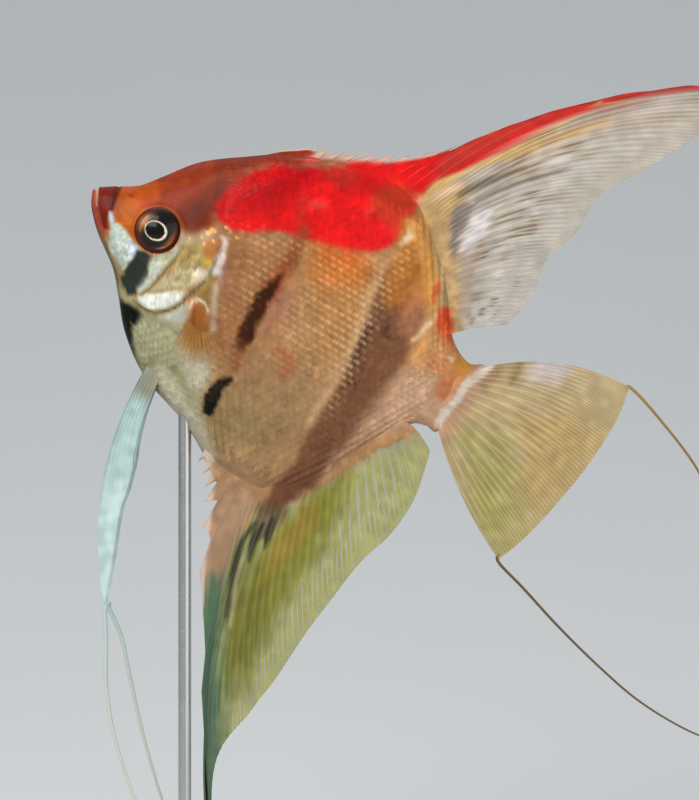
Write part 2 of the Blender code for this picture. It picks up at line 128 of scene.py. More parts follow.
# Cross sections of the body from lips to tail root: top edge, bottom edge, half thickness.
SECTIONS = {
    "lip_tip": ((-0.5, 0.6), (-0.5, 0.6), 0.0),
    "lips": ((0.9, 2.3), (0.9, -2.3), 1.9),
    "snout": ((3.6, 4.0), (4.6, -6.1), 3.1),
    "before_eye": ((6.8, 6.1), (10.1, -10.2), 4.3),
    "eye": ((9.6, 9.5), (13.8, -14.4), 5.1),
    "nape": ((14.5, 15.6), (18.6, -20.0), 6.0),
    "shoulder": ((21.4, 20.8), (25.9, -25.2), 6.8),
    "chest": ((30.0, 26.4), (37.0, -29.1), 7.1),
    "belly": ((40.1, 29.8), (46.2, -33.7), 6.6),
    "back": ((49.5, 31.0), (56.2, -33.1), 5.6),
    "loin": ((56.9, 28.7), (63.4, -26.6), 4.6),
    "hind": ((63.6, 22.9), (67.2, -18.7), 3.8),
    "flank_end": ((68.7, 16.6), (70.7, -12.3), 3.2),
    "stalk": ((72.8, 10.7), (74.0, -7.7), 2.7),
    "stalk_end": ((77.6, 8.1), (76.6, -6.5), 2.2),
    "tail_root": ((81.0, 9.1), (79.2, -6.1), 1.3),
    "end": ((79.4, 1.6), (79.4, 1.6), 0.0),
}
TOPS, BOTTOMS, HALVES = (np.array(column, float) for column in zip(*SECTIONS.values()))
HEAD_ROUNDNESS, TAIL_ROUNDNESS = 1.0, 1.35  # 1 is an ellipse, more is sharper towards the edges

EYE_PLACE = (14.61, 0.08)
EYE_RADIUS, EYE_DEPTH, EYE_OUT, LENS_BULGE = 4.6, 2.1, 4.5, 0.22
PUPIL_PLACE = (-0.42, -0.18)
SOCKET_DEPTH, SOCKET_WALL = 1.5, (3.90, 4.32)
EYE_RIM, EYE_RING = 4.72, 5.6  # radii of the fold and of the shallow ring round it

# Lines and outlines of the head and shoulder.
LIP_GAP, LIP_WIDTH = 0.55, 0.36

MOUTH_LINE = [(-1.3, 3.5), (0.2, 1.2), (1.9, -1.1), (4.0, -3.9), (5.6, -5.4)]
JAW_LINE = [(2.6, 5.6), (4.1, 2.2), (4.9, -0.6), (5.2, -2.4), (6.3, -4.3)]
CHIN_FOLD = [(6.0, -5.6), (8.3, -6.9), (10.6, -9.5), (13.0, -12.2), (16.4, -14.4)]
CHEEK_LINE = [(20.2, -0.3), (20.2, -2.9), (19.7, -5.2), (19.3, -7.4), (18.8, -9.6), (17.8, -11.9)]
GILL_EDGE = [
    (21.6, 4.9), (23.4, 5.2), (25.1, 4.6), (26.3, 2.4), (26.9, -0.7), (27.0, -3.2), (26.3, -5.5), (25.4, -7.8),
    (24.9, -9.6), (23.8, -11.4), (22.2, -12.9), (20.3, -13.7), (18.4, -13.6), (16.6, -13.4),
]
GILL_RAY_LINE = [(18.9, -11.0), (21.8, -8.8), (23.7, -6.9), (25.0, -4.7), (26.2, -3.4)]
SUB_EYE_FOLD = [(12.0, -4.6), (14.0, -5.3), (16.6, -4.9), (18.8, -3.0), (19.9, -0.4)]
NOSTRIL = (6.6, 3.5)
NOSTRIL_RIM, NOSTRIL_DEPTH = 0.62, 0.55
GILL_SOFT = [
    (19.8, -8.6), (19.6, -5.3), (20.6, -1.6), (23.2, 0.6), (26.0, -0.8), (26.1, -4.4), (24.0, -7.2),
    (21.4, -8.9),
]
PECTORAL_LOBE = [(27.4, -8.6), (28.9, -9.6), (30.3, -11.0)]
SHOULDER_LINE = [(27.6, 4.6), (28.6, 1.4), (29.4, -2.0), (30.3, -5.6), (31.6, -8.9)]
SCALED_EDGE = [
    (13.5, 22.0), (16.6, 17.6), (19.5, 12.6), (21.5, 8.2), (24.0, 6.4), (27.4, 4.2), (28.5, 0.4), (28.3, -4.2),
    (26.6, -7.6), (24.6, -11.0), (21.4, -13.8), (18.0, -14.9), (12.0, -15.5),
]

# Fins. Rays run from a root line to an edge line, both listed from the first ray to the last.
# Bend is how strongly the first and the last ray curve. Lean is how far out the fin stands from
# the mid-plane: at its root, as it bends, and at its edge's two ends.
FINS = {
    "dorsal_front": {
        "root": [(23.6, 22.2), (26.6, 24.3), (29.4, 25.4)], "edge": [(23.9, 22.5), (27.2, 25.5), (30.2, 27.6)],
        "bend": (0.0, 0.0), "lean": (0.0, 0.0, 0.0, 0.0),
    },
    "dorsal_spines": {
        "root": [(29.4, 25.4), (35.7, 27.9), (42.4, 29.6), (49.6, 30.2), (54.6, 29.2)],
        "edge": [
            (30.3, 27.7), (34.7, 30.3), (37.6, 31.4), (40.2, 32.6), (43.0, 33.8), (46.1, 35.6), (48.9, 37.0),
            (52.4, 39.9), (55.8, 43.3), (60.4, 49.2), (68.0, 57.8), (78.2, 67.4), (88.2, 74.9),
        ],
        "bend": (0.0, 0.158), "lean": (0.0, 0.0, 0.0, 0.0),
    },
    "dorsal_rays": {
        "root": [(55.2, 29.2), (59.4, 27.8), (63.3, 23.6), (67.3, 18.0), (72.2, 11.2)],
        "edge": [
            (110.3, 85.2), (96.7, 71.0), (89.1, 57.5), (83.5, 48.0), (83.2, 39.8), (81.0, 32.5), (82.0, 24.8),
            (80.6, 18.0),
        ],
        "bend": (0.22, 0.065), "lean": (0.0, 0.0, -2.2, 0.6),
    },
    "anal_spines": {
        "root": [(42.6, -32.0), (45.2, -33.2), (48.1, -33.8), (51.0, -33.9), (53.6, -33.6)],
        "edge": [
            (42.6, -34.0), (44.7, -35.6), (46.1, -37.7), (47.4, -40.2), (49.6, -44.2), (53.4, -52.1),
            (65.0, -71.4),
        ],
        "bend": (0.0, -0.058), "lean": (0.0, 0.0, 0.0, 0.0),
    },
    "anal_rays": {
        "root": [(54.2, -33.5), (60.1, -31.1), (64.8, -24.0), (69.2, -14.7), (74.4, -7.7)],
        "edge": [
            (86.7, -104.6), (74.5, -83.2), (75.1, -70.2), (76.1, -62.5), (76.7, -52.5), (77.8, -43.4),
            (79.0, -35.0), (81.2, -27.9), (81.8, -19.7), (79.9, -10.3),
        ],
        "bend": (-0.127, 0.1), "lean": (0.0, 0.0, 2.0, -0.6),
    },
    "tail": {
        "root": [(81.0, 9.0), (78.9, 5.4), (78.4, 1.6), (78.5, -2.4), (79.2, -6.0)],
        "edge": [
            (106.9, 19.4), (107.8, 14.1), (107.9, 8.1), (107.2, 0.4), (105.8, -7.8), (104.0, -15.4),
            (101.7, -21.6),
        ],
        "bend": (0.188, -0.093), "lean": (0.0, 0.4, 2.4, 2.4),
    },
    "pelvic": {
        "root": [(25.2, -24.4), (26.8, -24.5), (28.6, -24.4)],
        "edge": [(41.2, -66.6), (38.2, -58.2), (34.8, -49.5), (34.0, -45.4), (32.6, -40.5)],
        "bend": (-0.182, -0.088), "lean": (1.7, 2.2, 2.9, 4.1),
    },
    "pectoral": {
        "root": [(27.8, -11.2), (29.4, -11.9), (31.2, -11.7), (32.6, -10.6)],
        "edge": [(28.6, -23.2), (33.2, -25.7), (38.0, -24.6), (40.9, -20.3), (40.6, -14.8)],
        "bend": (-0.04, 0.06), "lean": (5.8, 9.4, 10.8, 10.4),
    },
}

# Streamers: side-plane points from the fin's corner to the tip, how far out they start and end
# from the mid-plane, and the two end radii.
STREAMERS = {
    "tail_upper": (
        [(105.9, 18.9), (107.4, 19.4), (114.5, 17.2), (125.5, 12.6), (136.5, 5.4), (145.5, -3.6)],
        (2.4, 4.4), (0.34, 0.16)),
    "tail_lower": (
        [(100.9, -20.6), (102.0, -22.1), (108.5, -24.0), (118.0, -27.0), (128.4, -29.7), (138.5, -31.6),
         (149.3, -31.8), (159.4, -30.2)], (2.4, 3.6), (0.32, 0.16)),
    "pelvic_left": (
        [(41.2, -66.0), (41.7, -67.2), (44.7, -71.9), (48.5, -78.4), (53.2, -84.5), (58.3, -89.6),
         (64.7, -94.9), (72.0, -99.4), (76.0, -101.6)], (2.9, 5.6), (0.48, 0.22)),
    "pelvic_right": (
        [(41.2, -66.0), (41.9, -67.0), (46.6, -70.6), (52.4, -77.1), (58.9, -84.2), (66.0, -91.2),
         (71.8, -96.4), (75.0, -99.2)], (2.9, 5.6), (0.48, 0.22)),
}


def to_world(points):
    """Side-plane millimetres to metres in the model's frame."""
    points = np.asarray(points, float)
    x, y, z = points[..., 0], points[..., 1], points[..., 2]
    cos, sin = math.cos(PITCH), math.sin(PITCH)
    turned = np.stack([x * cos + z * sin, y, z * cos - x * sin], axis=-1)
    return (turned + SNOUT_PLACE) * MM


def along_line(points, t):
    """Points at t, 0 to 1, on the smooth (Catmull-Rom) line through the points."""
    points = np.asarray(points, float)
    if points.ndim == 1:
        points = points[:, None]
    t = np.asarray(t, float)
    spans = len(points) - 1
    place = np.clip(t, 0.0, 1.0) * spans
    i = np.minimum(place.astype(int), spans - 1)
    s = (place - i)[..., None]
    padded = np.vstack([2 * points[0] - points[1], points, 2 * points[-1] - points[-2]])
    before, here, there, after = (padded[i + k] for k in range(4))
    return 0.5 * (
        2 * here
        + (there - before) * s
        + (2 * before - 5 * here + 4 * there - after) * s ** 2
        + (3 * here - before - 3 * there + after) * s ** 3
    )


def ease(low, high, value):
    """0 below low, 1 above high, and smooth between."""
    t = np.clip((value - low) / (high - low), 0.0, 1.0)
    return t * t * (3 - 2 * t)


def hump(value, width):
    return np.exp(-(value / width) ** 2)


def nearest_on_line(x, z, line, closed=False, smooth=4):
    """Distance to the smooth line, its sign (plus to the left of its run) and the share along it."""
    line = np.asarray(line, float)
    if closed:
        line = np.vstack([line, line[:1]])
    spans = len(line) - 1
    line = along_line(line, np.linspace(0, 1, spans * smooth + 1))
    best = np.full(x.shape, 1e9)
    side = np.ones(x.shape)
    share = np.zeros(x.shape)
    for i in range(len(line) - 1):
        (ax, az), (bx, bz) = line[i], line[i + 1]
        dx, dz = bx - ax, bz - az
        length = max(dx * dx + dz * dz, 1e-12)
        t = np.clip(((x - ax) * dx + (z - az) * dz) / length, 0, 1)
        gap = np.hypot(x - ax - t * dx, z - az - t * dz)
        nearer = gap < best
        best = np.where(nearer, gap, best)
        side = np.where(nearer, np.sign(dx * (z - az) - dz * (x - ax)), side)
        share = np.where(nearer, (i + t) / (len(line) - 1), share)
    return best, side, share


def inside_outline(x, z, outline, smooth=4):
    """Signed distance to the smooth closed outline, plus inside it."""
    outline = np.asarray(outline, float)
    gap, _, _ = nearest_on_line(x, z, outline, True, smooth)
    ring = along_line(np.vstack([outline, outline[:1]]), np.linspace(0, 1, len(outline) * smooth + 1))
    inside = np.zeros(x.shape, bool)
    for (ax, az), (bx, bz) in zip(ring[:-1], ring[1:]):
        if az == bz:
            continue
        crosses = ((az > z) != (bz > z)) & (x < (bx - ax) * (z - az) / (bz - az) + ax)
        inside ^= crosses
    return np.where(inside, gap, -gap)


def blotches(points, size, seed):
    """Smooth noise from 0 to 1 on a hashed lattice whose cells are size millimetres wide."""
    place = np.asarray(points, float) / size
    cell = np.floor(place).astype(np.int64)
    part = place - cell
    part = part * part * (3 - 2 * part)
    total = np.zeros(len(place))
    for corner in itertools.product((0, 1), repeat=3):
        q = cell + np.array(corner)
        mixed = (q[:, 0] * 73856093) ^ (q[:, 1] * 19349663) ^ (q[:, 2] * 83492791) ^ (seed * 9176549)
        mixed = ((mixed ^ (mixed >> 15)) * 224682251) & 0xFFFFFFFF
        mixed = ((mixed ^ (mixed >> 13)) * 326648991) & 0xFFFFFFFF
        value = ((mixed ^ (mixed >> 16)) & 0xFFFFFF) / 0xFFFFFF
        weight = np.prod(np.where(np.array(corner) == 1, part, 1 - part), axis=1)
        total += weight * value
    return total


def body_surface(t, around, grow=0.0):
    """A point on the body: t runs from lips to tail root, around is the angle about the section."""
    top, bottom = along_line(TOPS, t), along_line(BOTTOMS, t)
    half = np.maximum(along_line(HALVES, t)[..., 0], 0.0)
    roundness = HEAD_ROUNDNESS + (TAIL_ROUNDNESS - HEAD_ROUNDNESS) * t
    side = np.cos(around)
    middle, reach = (top + bottom) / 2, (top - bottom) / 2
    length = np.linalg.norm(reach, axis=-1)
    reach = reach * (1 + grow * np.clip(length / 2, 0, 1) / np.maximum(length, 1e-6))[..., None]
    height = middle + reach * np.sin(around)[..., None]
    width = (half + grow * np.clip(half / 1.2, 0, 1)) * np.sign(side) * np.abs(side) ** roundness
    return np.stack([height[..., 0], width, height[..., 1]], axis=-1)


def half_depth(t):
    """Half the body's depth from top edge to bottom edge."""
    return np.linalg.norm(along_line(TOPS, t) - along_line(BOTTOMS, t), axis=-1) / 2


def outward(surface, t, around):
    """Unit normals of a surface(t, around) by central differences."""
    dt, da = 4e-4, 4e-3
    along = surface(np.minimum(t + dt, 1), around) - surface(np.maximum(t - dt, 0), around)
    across = surface(t, around + da) - surface(t, around - da)
    normal = np.cross(across, along)
    return normal / np.maximum(np.linalg.norm(normal, axis=-1), 1e-9)[..., None]


def wrinkles(x, z, size, seed):
    """Smooth noise from 0 to 1 drawn out along the ribs of the gill cover."""
    along, across = (0.26 * x + 0.97 * z) * 0.5, (0.97 * x - 0.26 * z) * 1.5
    flat = np.stack([along, np.zeros_like(x), across], axis=-1)
    return blotches(flat.reshape(-1, 3), size, seed).reshape(x.shape)


def groove(x, z, line, depth, width, shoulder=0.0, fades_from=None):
    """A groove along a line, with a soft shoulder beside it, which may fade out towards the line's end."""
    gap, side, share = nearest_on_line(x, z, line)
    height = -depth * hump(gap, width) + shoulder * hump(gap * side + 0.6, 0.5)
    return height if fades_from is None else height * (1 - ease(fades_from, 1.0, share))


def gill_step(x, z, step):
    """The gill cover's proud edge, with the trench behind it."""
    gap, side, share = nearest_on_line(x, z, GILL_EDGE)
    signed = -gap * side
    on_cover = ease(-0.12, 0.12, signed)
    ends = ease(0.0, 0.08, share) * (1 - ease(0.9, 1.0, share))
    cover = step * on_cover * (1 - ease(0.2, 4.5, signed))
    trench = -0.8 * step * (1 - on_cover) * hump(signed, 1.0)
    return (cover + trench) * ends


def relief(x, z, form):
    """How far the skin stands out from the plain body, in millimetres, over the side plane."""
    gap, side, share = nearest_on_line(x, z, MOUTH_LINE)
    lips = hump(gap * side + LIP_GAP, LIP_WIDTH) + hump(gap * side - LIP_GAP, LIP_WIDTH)
    end_fade = 1 - ease(0.84, 1.0, share)
    height = -form.mouth_depth * hump(gap, 0.30) * end_fade
    height += form.lip_roll * lips * end_fade
    height += groove(x, z, JAW_LINE, 0.12, 0.26, 0.06)
    height += groove(x, z, CHIN_FOLD, 0.22, 0.3, fades_from=0.7)
    nostril = np.hypot((x - NOSTRIL[0]) * 0.8, z - NOSTRIL[1])
    height += 0.16 * hump(nostril - NOSTRIL_RIM, 0.24) - NOSTRIL_DEPTH * hump(nostril, 0.34)
    eye = np.hypot(x - EYE_PLACE[0], z - EYE_PLACE[1])
    height += -SOCKET_DEPTH * (1 - ease(*SOCKET_WALL, eye))
    height += form.eye_rim * hump(eye - EYE_RIM, 0.38) - 0.07 * hump(eye - EYE_RING, 0.5)
    height += groove(x, z, SUB_EYE_FOLD, 0.05, 0.35)
    height += form.fold_depth * groove(x, z, CHEEK_LINE, 1.0, 0.24, 0.5)
    height += groove(x, z, GILL_RAY_LINE, 0.12, 0.22)
    height += gill_step(x, z, form.gill_step)
    height += groove(x, z, SHOULDER_LINE, -0.10, 0.6)
    crumple = wrinkles(x, z, 0.8, SEED_WRINKLE_WIDE) - 0.5
    height += 0.26 * crumple * ease(-0.4, 1.2, inside_outline(x, z, GILL_SOFT))
    height += groove(x, z, PECTORAL_LOBE, -form.fin_lobe, 1.15)
    return height


def skin_surface(form):
    """The body's surface with its relief, as a function of t and around."""
    def plain(t, around):
        return body_surface(t, around, -form.scale_depth)

    def raised(t, around):
        base = plain(t, around)
        return base + outward(plain, t, around) * relief(base[..., 0], base[..., 2], form)[..., None]

    return raised


# ---- Markings ----

def patch(colour, soft, ragged, outline, strength=1.0, cover=None):
    """A marking with a closed outline: its edge fades over soft mm and wanders by ragged mm."""
    return {
        "kind": "patch", "colour": colour, "soft": soft, "ragged": ragged, "points": outline,
        "strength": strength, "cover": cover,
    }


def stroke(colour, width, soft, line, strength=1.0, cover=None, ragged=0.0):
    """A marking along a line: width is one half width, or that of its start, middle and end."""
    widths = width if isinstance(width, tuple) else (width, width, width)
    return {
        "kind": "stroke", "colour": colour, "soft": soft, "ragged": ragged, "points": line,
        "strength": strength, "cover": cover, "width": widths,
    }


# Display colours of the markings on body and fins, painted highlights among them: red, green and blue, out of
# 255.
TINTS = {
    "flank_tan": (170, 124, 82), "flank_brown": (154, 104, 66), "flank_gold": (172, 114, 60),
    "flank_rose": (160, 108, 84), "flank_orange": (204, 106, 40), "belly_tan": (152, 118, 80),
    "belly_olive": (140, 118, 76), "belly_rose": (176, 136, 102), "breast_silver": (158, 156, 122),
    "breast_olive": (88, 94, 50), "breast_white": (206, 206, 192), "breast_pale": (200, 192, 172),
    "back_rust": (136, 46, 20), "back_ridge": (134, 44, 28), "forehead_orange": (150, 58, 20),
    "nape_mauve": (102, 32, 8), "nape_rose": (156, 78, 62), "gill_brow": (186, 164, 132),
    "gill_olive": (166, 142, 84), "gill_cream": (184, 172, 134), "gill_orange": (170, 108, 54),
    "gill_yellow": (196, 160, 48), "gill_margin": (142, 118, 58), "mouth_gap": (206, 168, 148),
    "gill_rose": (226, 206, 186), "gill_white": (224, 226, 214), "gold_gleam": (246, 190, 118),
    "snout_orange": (172, 72, 12), "snout_bright": (194, 100, 26), "snout_red": (160, 52, 24),
    "lip_brown": (114, 28, 6), "lip_dark": (84, 26, 10), "lip_rose": (158, 68, 50),
    "mouth_cream": (184, 110, 66), "cheek_silver": (194, 204, 190), "cheek_blue": (204, 216, 234),
    "cheek_shade": (168, 180, 172), "jaw_blue": (188, 194, 220), "throat_olive": (84, 78, 42),
    "chin_tan": (142, 130, 100), "chin_grey": (146, 148, 112), "throat_black": (4, 4, 0),
    "behind_bar_white": (188, 196, 174), "rose_gleam": (206, 186, 204), "grey_gleam": (120, 130, 130),
    "fold_olive": (106, 94, 44), "bar_black": (40, 46, 40), "shoulder_white": (206, 200, 204),
    "shoulder_violet": (150, 84, 96), "shoulder_pale": (208, 180, 154), "shoulder_rose": (216, 150, 138),
    "orange_speck": (206, 96, 60), "lobe_brown": (150, 86, 34), "lobe_cream": (224, 200, 166),
    "lobe_dark": (112, 54, 26), "lobe_gold": (170, 118, 56), "saddle_red": (222, 20, 22),
    "saddle_deep": (176, 4, 10), "saddle_dull": (184, 52, 36), "saddle_rose": (214, 84, 76),
    "saddle_rust": (190, 62, 32), "ember": (206, 74, 34), "ember_soft": (170, 86, 52),
    "bar_faint": (130, 64, 36), "bar_dark": (56, 26, 8), "bar_brown": (116, 74, 50),
    "bar_gold": (182, 110, 40), "bar_rust": (182, 120, 84), "bar_dusk": (62, 38, 32),
    "spot_black": (8, 8, 6), "cream_edge": (222, 190, 152), "rear_beige": (190, 156, 108),
    "rear_orange_gold": (212, 152, 80), "rear_orange": (214, 74, 30), "rear_gold": (202, 144, 86),
    "rear_cream": (204, 160, 128), "stalk_rust": (208, 118, 68), "tail_root_pale": (208, 146, 104),
    "scale_gleam": (236, 204, 152), "fin_grey": (134, 120, 116), "fin_white": (220, 210, 210),
    "fin_beige": (184, 162, 142), "fin_gold": (206, 160, 98), "fin_shadow": (96, 78, 56),
    "fin_rose": (164, 68, 50), "fin_yellow": (208, 178, 104), "fin_clear": (192, 180, 164),
    "fin_ray": (226, 218, 202), "fin_dash": (132, 106, 78), "lappet_cream": (214, 190, 170),
    "anal_tan": (166, 132, 102), "anal_yellow": (126, 124, 26), "anal_olive": (98, 102, 26),
    "anal_bar": (104, 86, 62), "anal_gold": (160, 128, 44), "anal_clear": (160, 158, 62),
    "anal_grey": (80, 110, 84), "anal_dark": (46, 48, 34), "anal_rose": (202, 170, 162),
    "anal_cream": (206, 190, 160), "tail_rose": (190, 148, 118), "tail_gold": (206, 138, 48),
    "tail_white": (222, 208, 190), "tail_bar": (140, 112, 76), "tail_lilac": (208, 196, 204),
    "tail_brown": (182, 142, 74), "tail_green": (150, 148, 60), "tail_clear": (192, 166, 110),
    "pelvic_white": (174, 198, 194), "pelvic_grey": (176, 178, 182), "pelvic_tip": (218, 236, 228),
    "pelvic_root": (130, 112, 80), "streamer_brown": (112, 92, 66), "streamer_cream": (222, 214, 196),
}

# The pale band where the tail fin leaves the stalk lies on both.
TAIL_ROOT_BAND = [
    stroke("tail_rose", (1.5, 1.9, 1.5), 1.0, [
        (82, 9.8), (80.4, 5.4), (80.2, 2.2), (80, -1.4), (80, -5.6)], 0.8, 0.95),
    stroke("tail_white", (1.0, 0.75, 0.8), 0.45, [
        (81.2, 9.6), (80.4, 6.6), (79.3, 4.2), (79.2, 2), (79.3, 0.4), (78.6, -1.6), (78.5, -5)],
        0.85, 1.0, 0.3),
]

